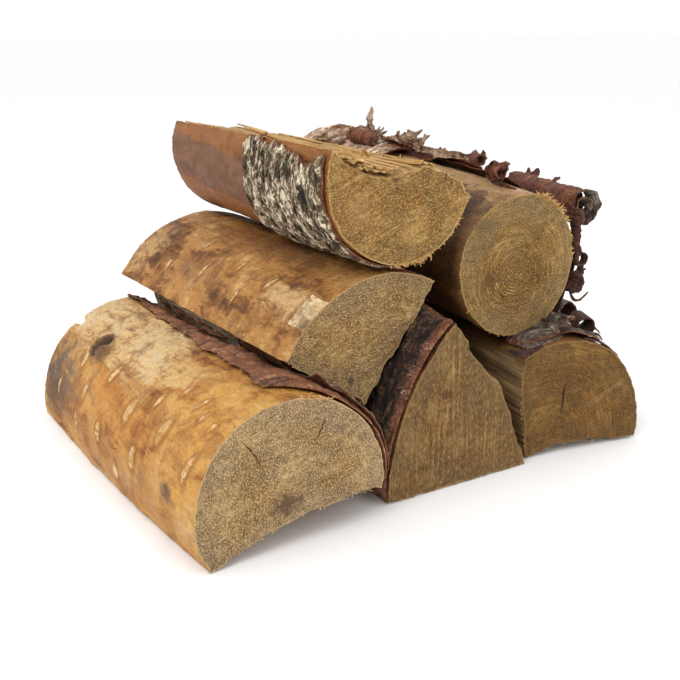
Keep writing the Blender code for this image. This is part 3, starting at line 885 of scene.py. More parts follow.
def bark_sheet(name, log_name, first, last, along, lift, thickness, material, rows, columns, seed,
               jag=(0.004, 0.004), curl=(0.0, 0.0, 0.0, 0.0), fissure=0.0008, node=None,
               wavy=0.0004, ridge=(110, 330)):
    """A sheet of bark over a log: ragged all round, with edges that may curl up.

    first and last give its two long edges, as pairs of a share of the log's length and metres round the
    log, and along the shares of the length that it reaches. lift is how far the two long edges stand off the
    wood, jag the raggedness of the long and the short edges in metres, and curl how far the near end, the far
    end, the first and the last long edge rise further.
    """
    log = LOGS[log_name]
    length = log["length"]
    u = np.linspace(0, 1, columns)[None, :] * np.ones((rows, 1))
    v = np.linspace(0, 1, rows)[:, None] * np.ones((1, columns))
    run0 = along[0] + (along[1] - along[0]) * v

    def ragged(way, k):
        return layered(vectors(way, k * 3.7, 0), seed + k, 4, 0.66)

    start_way = np.interp(run0, *zip(*first)) + jag[0] * ragged(run0 * length * 55, 1)
    end_way = np.interp(run0, *zip(*last)) + jag[0] * ragged(run0 * length * 55, 2)
    way = start_way + (end_way - start_way) * u
    start = along[0] + jag[1] / length * ragged(way * 60, 3) * (1.0 if along[0] > 0.02 else 0.12)
    end = along[1] + jag[1] / length * ragged(way * 60, 4) * (1.0 if along[1] < 0.98 else 0.12)
    run = np.clip(start + (end - start) * v, 0.0005, 0.9995)
    wrap = vectors(way, run * length, seed * 0.01)
    ridges = layered(wrap * (*ridge, 1), seed + 11, 3)
    bumps = layered(wrap * (45, 60, 1), seed + 13, 3)
    width = np.abs(end_way - start_way)
    reach = (along[1] - along[0]) * length
    rim = np.minimum(np.minimum(u, 1 - u) * width, np.minimum(v, 1 - v) * reach)
    rise = 0.0
    for amount, from_edge, over in zip(curl, (v * reach, (1 - v) * reach, u * width, (1 - u) * width),
                                       (0.022, 0.022, 0.014, 0.014)):
        rise = rise + amount * np.clip(1 - from_edge / over, 0, 1) ** 2
    rise = rise * np.maximum(0.6 + noise(wrap * (70, 70, 1), seed + 17), 0.05)
    off = lift[0] + (lift[1] - lift[0]) * u + rise + wavy * bumps
    thick = thickness * (0.30 + 0.70 * smooth(rim / 0.006)) * (1 + 0.18 * bumps)
    thick = np.maximum(thick + fissure * ridges * smooth(rim / 0.003), 0.0004)
    heap = Heap()
    heap.add(on_log(log, way, run, off), on_log(log, way, run, off + thick), wrap, (0.0, ridges), (0.0, rim))
    heap.build(name, material, node)


def curve(points, count):
    """A smooth line through a few points."""
    points = np.asarray(points, float)
    t = np.linspace(0, len(points) - 1, count)
    k = np.clip(t.astype(int), 0, len(points) - 2)
    f = (t - k)[:, None]
    padded = np.concatenate([2 * points[:1] - points[1:2], points, 2 * points[-1:] - points[-2:-1]])
    a, b, c, d = padded[k], padded[k + 1], padded[k + 2], padded[k + 3]
    square, cube = 2 * a - 5 * b + 4 * c - d, 3 * b - 3 * c + d - a
    return 0.5 * (2 * b + (c - a) * f + square * f ** 2 + cube * f ** 3)


def spiral(centre, across, up, size, angle):
    """A line round a centre: against across where the angle is 0, and towards up from there."""
    return centre - across * (size * np.cos(angle))[:, None] + up * (size * np.sin(angle))[:, None]


TO_RIGHT, TO_LEFT = (0.84, -0.54, 0.0), (-0.84, 0.54, 0.0)
TO_UP, TO_BACK = (0.0, 0.0, 1.0), (0.0, 1.0, 0.0)
TO_THE_BACK_AND_DOWN = (0.5, 0.8, -0.3)

# How far back two crests with loose bark lie: pixels from the photo's left edge, and metres
ROUND_CREST = ((360, 0.115), (400, 0.048), (457, -0.034), (513, -0.101))
FRONT_CREST = ((128, 0.137), (380, -0.158))


def seen(x, y, back):
    """The place that the photo shows at a pixel, on the upright plane that lies so far back."""
    focal = PHOTO_SIDE * VIEW_LENS / VIEW_SENSOR
    ray = np.array(Euler(VIEW_TURN).to_matrix()) @ (x - PHOTO_SIDE / 2, PHOTO_SIDE / 2 - y, -focal)
    return VIEW_PLACE + ray * (back - VIEW_PLACE[1]) / ray[1]


def strip(pixels, back, aside, widths, thickness, cup=0.15, nearer=0.0):
    """A torn strip: its line in the photo, how far back that lies, the way across it, and millimetres."""
    depths = [back if isinstance(back, float) else np.interp(x, *zip(*back)) for x, _ in pixels]
    line = [seen(x, y, depth - nearer) for (x, y), depth in zip(pixels, depths)]
    return line, aside, [0.001 * width for width in widths], 0.001 * thickness, cup


def roll(pixel, back, radius, turns, length, axis, thickness=0.9):
    """A small roll: its centre in the photo, how far back that lies, and millimetres."""
    return seen(*pixel, back), 0.001 * radius, turns, 0.001 * length, 0.001 * thickness, axis


# Loose strips, with their lines in the photo's pixels and their widths and thickness in millimetres
PALE_STRIPS = (
    strip(((370.5, 131), (370, 120), (371, 112), (371.5, 106.5)), 0.080, TO_LEFT, (7.0, 6.0, 4.5, 1.4), 1.0,
          0.2),
    strip(((384, 146), (392, 142), (397, 137), (399, 131)), ROUND_CREST, TO_UP, (9, 8, 5, 1.2), 1.4),
    strip(((396, 147), (404, 143), (412, 138), (422, 130)), ROUND_CREST, TO_UP, (10, 9, 6, 1.2), 1.4),
    strip(((402, 149), (411, 145), (420, 141), (429, 135.5)), ROUND_CREST, TO_UP, (9, 9, 6, 1.0), 1.4),
    strip(((396, 145), (404, 139), (410, 135), (414, 133)), ROUND_CREST, TO_UP, (8, 9, 7, 3), 1.2),
    strip(((412, 148), (419, 144), (424, 140), (425, 134)), ROUND_CREST, TO_UP, (8, 7, 4, 1), 1.2),
    strip(((376, 139), (390, 143), (404, 147), (420, 150)), ROUND_CREST, TO_UP, (8, 11, 12, 7), 1.6, 0.25,
          0.006),
    strip(((400, 146), (418, 150), (437, 152.5), (456, 154.5), (475, 158)), ROUND_CREST, TO_UP,
          (7, 8, 7, 5, 3), 1.6, 0.2, 0.004),
    strip(((322, 138), (330, 131), (338, 127.5), (350, 128)), ROUND_CREST, TO_UP, (5, 7, 6, 3), 1.4, 0.3),
    strip(((314, 143), (324, 143), (334, 146), (346, 150)), ROUND_CREST, TO_UP, (5, 8, 8, 5), 1.4, 0.3),
    strip(((352, 130), (360, 129), (368, 131), (380, 133)), ROUND_CREST, TO_UP, (4, 7, 6, 3), 1.2, 0.3),
    strip(((472, 161), (475, 156), (481, 155), (485, 161)), ROUND_CREST, TO_BACK, (9, 9, 8, 5), 1.0, 0.1),
    strip(((374, 134), (378, 130), (380, 126.5)), ROUND_CREST, TO_UP, (3, 2.2, 0.7), 0.8),
    strip(((376, 134), (381, 131), (384, 127.5)), ROUND_CREST, TO_UP, (3, 2.2, 0.7), 0.8),
    strip(((378, 136), (384, 133), (387, 131)), ROUND_CREST, TO_UP, (3, 2.2, 0.7), 0.8),
    strip(((170, 299), (188, 308), (207, 318), (226, 329)), FRONT_CREST, TO_UP, (2.0, 3.4, 3.0, 1.2), 1.0,
          0.2),
    strip(((226, 331), (240, 339), (252, 345), (264, 353)), FRONT_CREST, TO_UP, (1.2, 2.8, 2.4, 1.0), 1.0,
          0.2),
    strip(((284, 370), (292, 374), (300, 380), (308, 386)), FRONT_CREST, TO_UP, (1.4, 3.6, 3.2, 1.2), 1.0,
          0.2),
    strip(((290, 376), (294, 372), (298, 371)), FRONT_CREST, TO_UP, (2.6, 2.0, 0.8), 0.8, 0.2),
)
DARK_STRIPS = (
    strip(((376, 138), (388, 142), (398, 147), (412, 151)), ROUND_CREST, TO_UP, (5, 7, 7, 4), 1.2, 0.3,
          0.008),
    strip(((379, 146), (394, 151), (408, 155), (432, 158)), ROUND_CREST, TO_UP, (5, 11, 10, 4), 1.2, 0.2,
          0.008),
    strip(((346, 151), (356, 147), (366, 147), (378, 152)), ROUND_CREST, TO_UP, (3, 7, 8, 6), 1.2, 0.2),
    strip(((436, 152), (439, 149.5), (441, 147.5)), ROUND_CREST, TO_UP, (2.5, 1.8, 0.8), 0.8),
    strip(((442, 152.5), (444, 150.5), (445, 148)), ROUND_CREST, TO_UP, (2.5, 1.8, 0.8), 0.8),
    strip(((489, 176), (493, 168), (499, 165), (506, 168)), ROUND_CREST, TO_BACK, (9, 10, 10, 7), 0.9, 0.2),
    strip(((491, 179), (497, 175), (503, 172), (508, 167)), ROUND_CREST, TO_UP, (3, 6, 8, 4), 0.9, 0.2),
    strip(((497, 175), (498, 179), (497, 182)), ROUND_CREST, TO_RIGHT, (3, 2, 0.8), 0.7),
    strip(((502, 174), (503, 178), (502, 181.5)), ROUND_CREST, TO_RIGHT, (3, 2, 0.8), 0.7),
    strip(((486, 176), (496, 182.5), (506, 186.5), (516, 190)), ROUND_CREST, TO_UP, (2, 3, 3, 2), 0.9),
    strip(((526, 180), (528, 174), (529, 167.5)), -0.030, TO_RIGHT, (6, 5, 1.5), 0.8),
    strip(((531, 178), (534, 173), (537, 168.5)), -0.035, TO_RIGHT, (5, 3.5, 1), 0.8),
    strip(((535, 177), (538, 172), (538.5, 168)), -0.040, TO_RIGHT, (4, 3, 1), 0.8),
    strip(((552, 182), (556, 179), (560, 177.5)), -0.060, TO_UP, (3, 3, 1.5), 0.8),
)
HANGING_BACK = -0.1135
HANGING_STRIPS = (
    strip(((577, 208), (577, 222), (575, 236), (577, 252)), HANGING_BACK, TO_BACK, (9, 8, 6, 6), 1.2, 0.3),
    strip(((573, 216), (574.5, 230), (573.5, 246), (574, 262)), HANGING_BACK, TO_BACK, (8, 8, 8, 7), 1.2,
          0.2),
    strip(((578, 262), (580, 268), (575, 276), (572, 280)), HANGING_BACK, TO_BACK, (4, 5, 6, 7), 1.1, 0.3),
    strip(((572, 270), (577, 279), (576, 287), (567, 291)), HANGING_BACK, TO_BACK, (7, 9, 9, 6), 1.2, 0.3),
    strip(((571, 274), (572, 283), (569, 290)), HANGING_BACK, TO_RIGHT, (7, 9, 6), 1.2, 0.3),
    strip(((578, 266), (582, 270), (585.5, 268.5)), HANGING_BACK, TO_UP, (2.4, 2.2, 0.8), 0.7),
    strip(((581, 268), (583, 272), (582.5, 275)), HANGING_BACK, TO_RIGHT, (2.4, 1.6, 0.6), 0.7),
    strip(((586, 331), (594, 328), (600, 333)), -0.120, TO_UP, (2.2, 1.6, 0.6), 0.7),
    strip(((587, 333), (597, 334), (602, 340)), -0.122, TO_UP, (2.2, 1.6, 0.6), 0.7),
    strip(((583, 331), (592, 335), (598, 341)), -0.121, TO_UP, (2.6, 1.6, 0.6), 0.7),
    strip(((588, 329), (592, 333), (595, 335)), -0.120, TO_RIGHT, (2.2, 1.6, 0.6), 0.7),
    strip(((508, 350), (517, 353.5), (529, 352), (543, 346)), -0.140, TO_UP, (1.5, 4.5, 4.5, 1.5), 1.4, 0.25),
)
GREY_STRIPS = (
    strip(((569, 289.5), (573, 299), (580, 299.5), (588, 292)), HANGING_BACK, TO_THE_BACK_AND_DOWN,
          (3.2, 4.5, 4, 1.0), 0.9),
    strip(((518, 344), (529, 346), (545, 342), (562, 335)), -0.134, TO_UP, (2, 3.5, 4, 2.5), 1.6, 0.3),
    strip(((545, 330), (553, 321), (560, 316), (568, 318)), -0.125, TO_BACK, (20, 26, 26, 18), 1.4, 0.1),
)
SPLINTERS = (
    strip(((361, 157), (362, 153), (363, 149)), -0.100, TO_RIGHT, (2.6, 1.8, 0.8), 0.8),
    strip(((363, 149.5), (366, 153), (369, 157)), -0.098, TO_RIGHT, (1.6, 2.2, 2.5), 0.8),
    strip(((398, 161), (400, 157), (400.5, 154)), -0.092, TO_RIGHT, (1.6, 1.1, 0.5), 0.5),
)

# Small rolls of bark, with the red side out where the radius is below zero
PALE_ROLLS = (roll((363, 137.5), 0.070, -6.2, 1.12, 26, (0.25, -0.95, -0.15), 1.0),)
DARK_ROLLS = (
    roll((478, 159.5), -0.064, 4.3, 1.2, 9, (0.2, 1.0, 0.1)),
    roll((499, 171), -0.085, 4.2, 1.6, 9, (0.3, 0.95, 0.1)),
)
HANGING_ROLLS = (
    roll((579.5, 258.5), HANGING_BACK, 5.2, 1.3, 7, (0.1, 1.0, 0.0)),
    roll((581, 323.5), -0.115, 8.0, 1.2, 16, (0.3, 0.95, 0.1), 1.2),
)
GREY_ROLLS = (roll((558, 307), -0.088, 8.0, 1.1, 26, (0.15, 1.0, 0.0), 1.2),)


def loose_bark(name, strips, rolls, material, seed):
    """The torn strips and small curls of one kind of bark, as one piece."""
    heap = Heap()
    for k, (points, aside, widths, thickness, cup) in enumerate(strips):
        width = np.interp(np.linspace(0, 1, 26), np.linspace(0, 1, len(widths)), widths)
        heap.ribbon(curve(points, 26), aside, width, thickness, cup, 8, seed + 5 * k, 0.35, 0.10)
    share = np.linspace(0, 1, 44)
    for k, (centre, radius, turns, length, thickness, axis) in enumerate(rolls):
        axis, up, aside = ways_across(axis)
        line = spiral(centre, up, aside, abs(radius) * (1 - 0.28 * share), share * turns * 2 * math.pi)
        heap.ribbon(line, axis * np.sign(radius), length, thickness, 0.0, 12, seed + 101 + 5 * k, 0.12, 0.012)
    heap.build(name, material)


def ways_across(axis):
    """An axis of length one, with the ways up and aside from it."""
    axis = unit(axis)
    up = unit(np.array(TO_UP) - axis * axis[2])
    return axis, up, np.cross(up, axis)


def roll_end(name, roll, material, seed):
    """Bark folded in across the near end of a small roll, its pale outer side towards the end."""
    centre, _, _, length, _, axis = roll
    axis, up, aside = ways_across(axis)
    angle = -np.linspace(0.0, 2.15 * math.pi, 44)[:, None]
    radial = aside * np.cos(angle) + up * np.sin(angle)
    line = centre + axis * (0.5 * length - 0.0010 - 0.0003 * angle) + radial * 0.0029
    heap = Heap()
    heap.ribbon(line, radial, 0.0042, 0.0007, 0.12, 9, seed, 0.12, 0.02)
    heap.build(name, material)


def fray(heap, name, first, last, count, length, curly):
    """Torn wood fibres on the rim of a log's near end, from first to last metres round it."""
    log = LOGS[name]
    seed = 800 + int(1000 * first) + count
    rng = np.random.RandomState(seed)
    for k, way in enumerate(rng.uniform(first, last, count)):
        root, above = (on_log(log, np.array([way]), np.array([0.003]), off)[0] for off in (-0.0006, 0.0094))
        out = unit(above - root)
        aside = np.cross(out, TO_BACK)
        reach = length * rng.uniform(0.35, 1.0)
        heading = -np.array(TO_BACK) * rng.uniform(0.05, 0.7) + out * rng.uniform(-0.1, 0.8)
        heading = unit(heading + aside * rng.uniform(-0.8, 0.8)) * reach
        turn = rng.normal(size=3) * curly * reach
        line = curve((root, root + heading * 0.5 + 0.5 * turn, root + heading + turn * 0.2), 5)
        size = rng.uniform(0.0004, 0.0010)
        heap.ribbon(line, aside, np.linspace(size, size * 0.3, 5), 0.0003, 0.0, 2, seed + k, 0.2)


def split_layers(heap, name, ways, count, seed, starts=(0.0, 0.8), reaches=(0.10, 0.38), lifts=(0.0, 0.0008)):
    """Long thin layers of wood that have half split away from a split face."""
    log = LOGS[name]
    rng = np.random.RandomState(seed)
    along = np.linspace(0, 1, 22)
    for k in range(count):
        way = rng.uniform(*ways)
        start = rng.choice([0.004, rng.uniform(*starts)])
        run = np.clip(np.linspace(start, start + rng.uniform(*reaches), 22), 0.002, 0.998)
        raised = 0.0022 if start < 0.03 else 0.0005
        lift = rng.uniform(*lifts) + raised * np.linspace(1, -0.3, 22).clip(0, 1) ** 2 * rng.uniform(0, 1)
        line = on_log(log, way + rng.uniform(-0.004, 0.004) * along, run, lift)
        width = rng.uniform(0.0016, 0.0045) * np.interp(along, (0, 0.12, 0.7, 1), (0.55, 1.0, 0.8, 0.12))
        before, after = (on_log(log, way + step, np.array([start]), 0.0)[0] for step in (-0.002, 0.002))
        heap.ribbon(line, after - before, width, rng.uniform(0.0006, 0.0013), 0.0, 4, seed + 3 * k, 0.3, 0.03)


def log_materials():
    """The three surfaces of each log: its sawn ends, its bare skin and its split faces."""
    return {
        "front_left_log": (
            cut_wood("sawn_front", (240, 206, 148), (151, 116, 68), (82, 55, 30), (180, 155, 122),
                     streak=(1.2, 0.06), rings=0.6, stains=(((-0.0127, -0.001), (0.012, 0.008),
                                                             (100, 74, 56), 0.8),),
                     cracks=(((-0.0400, 0.0415), (-0.0270, 0.0260), 0.0006),
                             ((0.0120, 0.0470), (0.0060, 0.0320), 0.0006))),
            skin_wood("bare_front", (220, 184, 122), (200, 147, 68), (146, 88, 32), (84, 56, 36),
                      pale_band=(0.36, 0.115, 0.22),
                      # The first, second, fourth and fifth spots make the low left side darker, most of all
                      # towards the far end
                      dark_spots=(((0.545, 0.86), (0.095, 0.19), (86, 72, 60), 0.85),
                                  ((0.565, 0.90), (0.085, 0.12), (68, 59, 51), 0.8),
                                  ((0.432, 0.708), (0.042, 0.070), (104, 76, 48), 0.85),
                                  ((0.585, 0.90), (0.03, 0.10), (96, 66, 38), 0.7),
                                  ((0.610, 0.40), (0.060, 0.50), (160, 104, 52), 0.5),
                                  ((0.500, 0.50), (0.060, 0.30), (196, 128, 46), 0.55))),
            split_wood("split_front", (205, 170, 115), (160, 120, 72), (100, 72, 42)),
        ),
        "middle_log": (
            cut_wood("sawn_middle", (232, 195, 132), (146, 107, 56), (78, 52, 27), (168, 142, 106),
                     streak=(0.2, 0.10), rings=0.6, stains=(((-0.0272, 0.0253), (0.004, 0.004),
                                                             (92, 76, 62), 0.9),)),
            skin_wood("bare_middle", (220, 176, 110), (180, 127, 62), (118, 72, 30), (72, 47, 28),
                      blots=0.6, contrast=1.15, patches=(((0.333, 0.012), (0.042, 0.060), 0.0,
                                                          (248, 220, 172)),),
                      dark_spots=(((0.330, 0.14), (0.045, 0.10), (210, 172, 118), 0.9),
                                  ((0.340, 0.94), (0.10, 0.09), (204, 164, 110), 0.7),
                                  ((0.190, 0.45), (0.060, 0.40), (122, 80, 44), 0.75),
                                  ((0.350, 0.62), (0.050, 0.10), (120, 74, 36), 0.6))),
            split_wood("split_middle", (190, 150, 95), (140, 104, 62), (84, 60, 36)),
        ),
        "top_log": (
            cut_wood("sawn_top", (236, 194, 118), (147, 105, 50), (86, 56, 25), (152, 122, 78),
                     streak=(2.75, 0.45), rings=0.3, fringe=0.3, speck=0.7,
                     stains=(((-0.0096, -0.0106), (0.004, 0.004), (104, 78, 52), 0.8),
                             ((-0.036, -0.031), (0.010, 0.010), (160, 132, 90), 0.3)),
                     cracks=(((0.030, 0.004), (0.024, -0.022), 0.0005),)),
            skin_wood("bare_top", (182, 122, 58), (148, 92, 40), (112, 66, 27), (84, 56, 38),
                      specks=0.3, roughness=0.55, contrast=0.8, blots=0.2,
                      patches=(((0.105, 0.72), (0.060, 0.50), -0.075, (130, 88, 62)),),
                      dark_spots=(((0.07, 0.72), (0.03, 0.10), (88, 70, 56), 0.7),)),
            split_wood("split_top", (218, 184, 124), (180, 142, 86), (112, 80, 46)),
        ),
        "round_log": (
            cut_wood("sawn_round", (222, 178, 104), (134, 95, 41), (78, 50, 21), (162, 136, 96),
                     rings=1.5, ring_size=0.0020, speck=0.85, pith_rings=0.7, fringe=0.65,
                     stains=(((-0.022, -0.002), (0.005, 0.006), (96, 66, 38), 0.6),
                             ((0.022, -0.004), (0.005, 0.006), (100, 68, 38), 0.5),
                             ((-0.026, 0.034), (0.014, 0.006), (112, 94, 68), 0.5))),
            skin_wood("bare_round", (170, 130, 80), (105, 70, 35), (61, 40, 21), (42, 30, 20),
                      # The pale band along the crest is partly pale wood and partly a painted highlight
                      blots=0.5, contrast=1.1, pale_band=(0.245, 0.08, -0.2), pale_rim=0.5,
                      # The two dark spots on the upper left side near the near end are painted shade
                      dark_spots=(((0.36, 0.12), (0.05, 0.10), (58, 42, 30), 0.8),
                                  ((0.33, 0.35), (0.04, 0.10), (70, 50, 34), 0.6))),
            split_wood("split_round", (190, 150, 95), (140, 104, 62), (84, 60, 36)),
        ),
        "wedge_log": (
            cut_wood("sawn_wedge", (194, 155, 98), (118, 84, 40), (72, 48, 24), (138, 110, 70),
                     streak=(1.57, 0.7), rings=0.2, speck=0.6,
                     stains=(((-0.0899, 0.0449), (0.006, 0.003), (84, 58, 38), 0.6),)),
            skin_wood("bare_wedge", (170, 122, 72), (128, 86, 48), (80, 52, 30), (54, 38, 28)),
            split_wood("split_wedge", (176, 142, 92), (132, 100, 60), (80, 58, 36)),
        ),
        "right_log": (
            cut_wood("sawn_right", (186, 140, 74), (113, 77, 31), (66, 42, 18), (124, 95, 53),
                     streak=(1.4, 0.2), rings=0.8, speck=0.6,
                     cracks=(((0.0090, 0.0420), (0.0070, 0.0130), 0.0016),),
                     bands=(((0.064, 0.038), (0.023, 0.0176), 0.0030, (168, 134, 88), 0.7),)),
            skin_wood("bare_right", (170, 124, 72), (130, 88, 46), (84, 54, 30), (56, 40, 30)),
            split_wood("split_right", (178, 146, 102), (132, 103, 68), (84, 63, 42), grey=0.1),
        ),
    }


def build_bark(red, grey):
    """The sheets of bark that still cling to the logs, and what has torn off them."""
    birch = outer_bark("birch_bark", (222, 207, 182), (118, 101, 70), (26, 21, 16), 0.6, 0.002, contrast=1.45)
    rose = outer_bark("rosy_bark_outside", (226, 206, 182), (176, 142, 112), (74, 50, 38), 0.8, contrast=1.1)
    shaded = outer_bark("shaded_bark", (190, 172, 138), (104, 92, 68), (30, 24, 18), 0.3)
    mossy = inner_bark("mossy_bark", (58, 46, 32), (122, 106, 78), (186, 166, 128), 0.3)
    # Dark brown bark for the wedge, with its colours painted darker still as shade for where it lies between
    # the logs
    shaded_dark_bark = outer_bark("dark_bark_painted_shade", (98, 68, 48), (50, 33, 24), (16, 11, 8), 0.2, contrast=1.1, threads=0.8)
    maroon = inner_bark("dark_red_bark", (30, 18, 14), (70, 40, 30), (120, 74, 54))
    brown = inner_bark("red_bark_strip", (58, 36, 24), (126, 80, 54), (178, 128, 92))
    amber = inner_bark("amber_bark_inside", (66, 36, 20), (142, 86, 46), (204, 140, 82), 0.1)
    bark_sheet("top_bark_sheet", "top_log", TOP_BARK_EDGE, ((0.0, 0.106), (1.0, 0.106)),
               (0.012, 0.450), (0.0008, 0.0008), 0.0026, birch, 132, 132, 5, jag=(0.0030, 0.0030),
               curl=(0.0, 0.001, 0.002, 0.002), fissure=0.0011, node="top_bark")
    crest = ((0.0, 0.010), (1.0, 0.006))
    bark_sheet("front_left_bark_red", "front_left_log", crest, RED_STRIP_EDGE,
               (0.0, 1.0), (0.0008, 0.0010), 0.0026, brown, 200, 50, 7, jag=(0.0028, 0.004),
               curl=(0.0, 0.0, 0.0, 0.0012), fissure=0.0012, node="front_left_bark", wavy=0.0010,
               ridge=(300, 120))
    bark_sheet("front_left_bark_outer", "front_left_log", crest, OUTER_STRIP_EDGE,
               (0.004, 0.996), (0.0038, 0.0044), 0.0022, shaded, 200, 50, 8, jag=(0.0035, 0.004),
               curl=(0.0, 0.0, 0.0, 0.0065))
    bark_sheet("front_left_bark_raised", "front_left_log", ((0.40, 0.076), (0.52, 0.084), (1.0, 0.0780)),
               ((0.40, 0.0860), (0.52, 0.0940), (0.75, 0.0930), (1.0, 0.0860)),
               (0.42, 0.998), (0.0030, 0.0125), 0.0013, mossy, 120, 30, 33, jag=(0.0016, 0.004),
               fissure=0.0004,
               wavy=0.0010, ridge=(200, 60))
    # The wedge's bark sheet, in the dark bark whose colours carry painted shade
    bark_sheet("wedge_bark_sheet", "wedge_log", ((0.0, 0.003), (1.0, 0.003)), ((0.0, 0.121), (1.0, 0.121)),
               (0.0, 1.0), (0.0030, 0.0015), 0.0052, shaded_dark_bark, 170, 70, 9, jag=(0.002, 0.003), fissure=0.0016,
               node="wedge_bark")
    bark_sheet("right_bark_sheet", "right_log", ((0.0, 0.090), (0.15, 0.084), (1.0, 0.066)),
               ((0.0, 0.146), (0.15, 0.150), (1.0, 0.152)), (0.012, 0.95), (0.0022, 0.0030), 0.0024, grey,
               140, 60, 13, jag=(0.004, 0.007), curl=(0.0020, 0.0, 0.0010, 0.0), node="right_bark",
               wavy=0.0012)
    bark_sheet("round_bark_sheet", "round_log", ((0.4, 0.040), (1.0, 0.038)),
               ((0.4, 0.100), (0.6, 0.116), (0.8, 0.128), (1.0, 0.132)), (0.50, 1.0), (0.0020, 0.0036),
               0.0024,
               rose, 150, 90, 17, jag=(0.006, 0.008), curl=(0.006, 0.0, 0.002, 0.004), fissure=0.0016,
               node="round_bark", wavy=0.0012)
    bark_sheet("round_bark_middle", "round_log", ((0.2, 0.045), (0.65, 0.042)),
               ((0.30, 0.0690), (0.475, 0.0740), (0.62, 0.086)), (0.26, 0.66), (0.0030, 0.0060), 0.0022, rose,
               90, 50, 19, jag=(0.005, 0.006), curl=(0.0, 0.002, 0.0, 0.003), fissure=0.0014,
               wavy=0.0022)
    bark_sheet("round_bark_thin", "round_log", ((0.1, 0.045), (0.7, 0.045)),
               ((0.10, 0.0660), (0.28, 0.0690), (0.475, 0.0740), (0.64, 0.088)), (0.12, 0.64),
               (0.0012, 0.0040),
               0.0013, amber, 110, 40, 21, jag=(0.0015, 0.004), curl=(0.0, 0.0, 0.0, 0.0010), fissure=0.0003,
               wavy=0.0006)
    bark_sheet("round_bark_side", "round_log", ((0.0, 0.268), (0.05, 0.258), (0.15, 0.280)),
               ((0.0, 0.3040), (0.15, 0.3060)), (0.012, 0.150), (0.0030, 0.0024), 0.0016, maroon, 40, 60, 37,
               jag=(0.004, 0.003), curl=(0.003, 0.0, 0.004, 0.0), wavy=0.0014)
    bark_sheet("right_bark_edge", "right_log", ((0.0, 0.071), (0.05, 0.076)), ((0.0, 0.104), (0.05, 0.100)),
               (0.002, 0.045), (0.0004, 0.0012), 0.0016, maroon, 16, 70, 39, jag=(0.002, 0.0016),
               fissure=0.0004,
               wavy=0.0008)
    loose_bark("round_bark_pale_shreds", PALE_STRIPS, PALE_ROLLS, rose, 401)
    roll_end("round_bark_pale_roll_end", PALE_ROLLS[0], rose, 431)
    loose_bark("round_bark_red_shreds", DARK_STRIPS, DARK_ROLLS, red, 501)
    loose_bark("bark_hanging_shreds", HANGING_STRIPS, HANGING_ROLLS, maroon, 551)
    loose_bark("bark_grey_shreds", GREY_STRIPS, GREY_ROLLS, grey, 601)


def build_fibres():
    """Splinters on the split face of the top log, and torn fibres on the rims of the sawn ends."""
    fibre = split_wood("torn_fibres", (244, 216, 160), (208, 166, 104), (146, 106, 60), grey=0.05)
    splinter = split_wood("split_layers", (230, 196, 136), (190, 150, 92), (120, 86, 48), grey=0.1)
    heap = Heap()
    split_layers(heap, "top_log", (0.200, 0.285), 46, 701)
    split_layers(heap, "top_log", (0.236, 0.284), 16, 741, (0.0, 0.05), (0.08, 0.30), (0.0012, 0.0036))
    for k, (points, aside, widths, thickness, cup) in enumerate(SPLINTERS):
        width = np.interp(np.linspace(0, 1, 20), np.linspace(0, 1, len(widths)), widths)
        heap.ribbon(curve(points, 20), aside, width, thickness, cup, 5, 721 + k, 0.4, 0.05)
    heap.build("top_log_splinters", splinter)
    heap = Heap()
    for stretch in FRAYED_RIMS:
        fray(heap, *stretch)
    heap.build("sawn_rim_fibres", fibre)


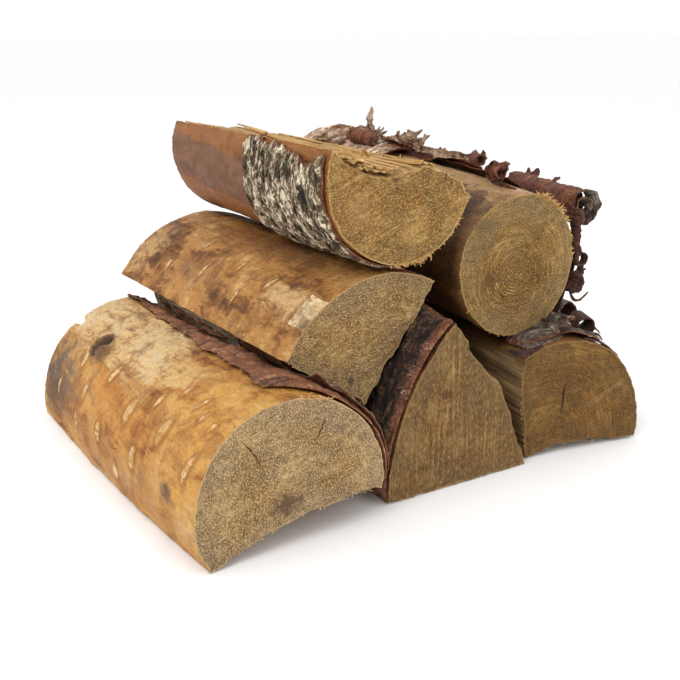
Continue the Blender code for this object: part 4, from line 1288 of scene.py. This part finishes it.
def build_roll(red, grey):
    """The bark that leaves the round log's side and rolls up along its upper edge."""
    log = LOGS["round_log"]
    upward, outward = np.array([0.2425, 0.0, 0.9701]), np.array([0.9701, 0.0, -0.2425])
    held = np.linspace(0, 1, 18)
    turn = np.linspace(0, 1, 76)
    under, over, wraps, centres = [], [], [], []
    for i, v in enumerate(np.linspace(0.0, 1.0, 80)):
        path = surface(log, np.full(18, 1), 0.80 + 0.18 * held, 0.125 + 0.235 * v, 0.0016 + 0.002 * held)[0]
        start = path[-1]
        outer = 0.0091 + 0.0005 * math.sin(i * 0.23) + 0.0004 * math.sin(i * 0.61)
        top = start + upward * 0.040
        centres.append(top + outward * outer)
        rise = start + (top - start) * np.linspace(0, 1, 14)[1:-1, None]
        loop = spiral(centres[-1], outward, upward, outer + (0.0042 - outer) * turn, turn * 1.4 * 2 * math.pi)
        line = np.concatenate([path, rise, loop])
        walked = walked_along(line)
        spots = vectors(walked * 90, 0, 0.5)
        low, high = 0.0030 * layered(spots, 301, 4, 0.65), 0.0040 * layered(spots, 305, 4, 0.65)
        line[:, 1] += low * (1 - v) + high * v
        forward = unit(np.gradient(line * (1, 0, 1), axis=0))
        side = vectors(forward[:, 2], 0, -forward[:, 0])
        wrap = vectors(walked, line[:, 1], 0)
        bump = 0.00035 * layered(wrap * (120, 300, 1), 71, 3)[:, None]
        under.append(line - side * (0.0006 - bump))
        over.append(line + side * (0.0006 + bump))
        wraps.append(wrap)
    sheet = Heap()
    sheet.add(np.array(under), np.array(over), np.array(wraps), depth=(0.0, 0.0), inner=(1.0, 1.0))
    sheet.build("round_bark_roll_sheet", red, "round_bark_roll")
    low = centres[0] - 0.0035 * upward
    ring = Heap()
    for forth, rise, size, first, last, width, seed in (
        (-0.001, 0.0, 0.0122, -1.3, 4.4, 0.010, 3), (0.012, 0.0035, 0.0090, -0.6, 4.9, 0.006, 9),
    ):
        line = spiral(low, outward, upward, size, np.linspace(first, last, 44)) + upward * rise
        ring.ribbon(line + (0.0, forth, 0.0), TO_BACK, width, 0.0010, -0.12, 12, seed, 0.20, 0.02)
    ring.build("round_bark_roll_rings", red)
    angle = np.linspace(-0.6, 9.6, 80)
    size = np.interp(angle, (-0.6, 4.6, 9.6), (0.0128, 0.0112, 0.0030)) + 0.0008 * np.sin(3 * angle)
    line = spiral(low, outward, upward, size, angle) - (0.0, 0.0135, 0.0)
    flare = Heap()
    flare.ribbon(line, -np.array(TO_BACK), 0.014, 0.0010, -0.14, 14, 15, 0.22, 0.03)
    flare.build("round_bark_roll_end", grey)


# Stage

def build_stage():
    """A pale floor, soft lights and the camera."""
    bpy.ops.mesh.primitive_plane_add(size=80.0, location=(0.0, 0.0, -0.0005))
    floor = bpy.context.object
    floor.name = "floor"
    s = Surface("pale_floor")
    s.colour = (0.93, 0.93, 0.93)
    floor.data.materials.append(s.finish(0.9))
    scene = bpy.context.scene
    scene.world = bpy.data.worlds.new("studio")
    scene.world.use_nodes = True
    background = scene.world.node_tree.nodes["Background"]
    background.inputs[0].default_value = (1.0, 1.0, 1.0, 1.0)
    background.inputs[1].default_value = 1.05
    for name, place, size, power in LAMPS:
        data = bpy.data.lights.new(name, "AREA")
        data.energy = power
        data.size = size
        lamp = bpy.data.objects.new(name, data)
        lamp.location = place
        lamp.rotation_euler = (Vector(LIT_PLACE) - Vector(place)).to_track_quat("-Z", "Y").to_euler()
        scene.collection.objects.link(lamp)
    scene.view_settings.view_transform = "Standard"
    camera_data = bpy.data.cameras.new("camera")
    camera_data.lens = VIEW_LENS
    camera_data.sensor_width = VIEW_SENSOR
    camera = bpy.data.objects.new("camera", camera_data)
    camera.location = VIEW_PLACE
    camera.rotation_euler = VIEW_TURN
    scene.collection.objects.link(camera)
    scene.camera = camera


wood = log_materials()
for log_name, log_values in LOGS.items():
    log_piece(log_name, log_values, wood[log_name])
red_inside = inner_bark("red_bark_inside", (45, 26, 19), (97, 54, 38), (152, 95, 68))
grey_outside = outer_bark("grey_bark_outside", (168, 156, 140), (104, 91, 78), (38, 31, 26), 0.5,
                          contrast=0.9)
build_bark(red_inside, grey_outside)
build_roll(red_inside, grey_outside)
build_fibres()
build_stage()
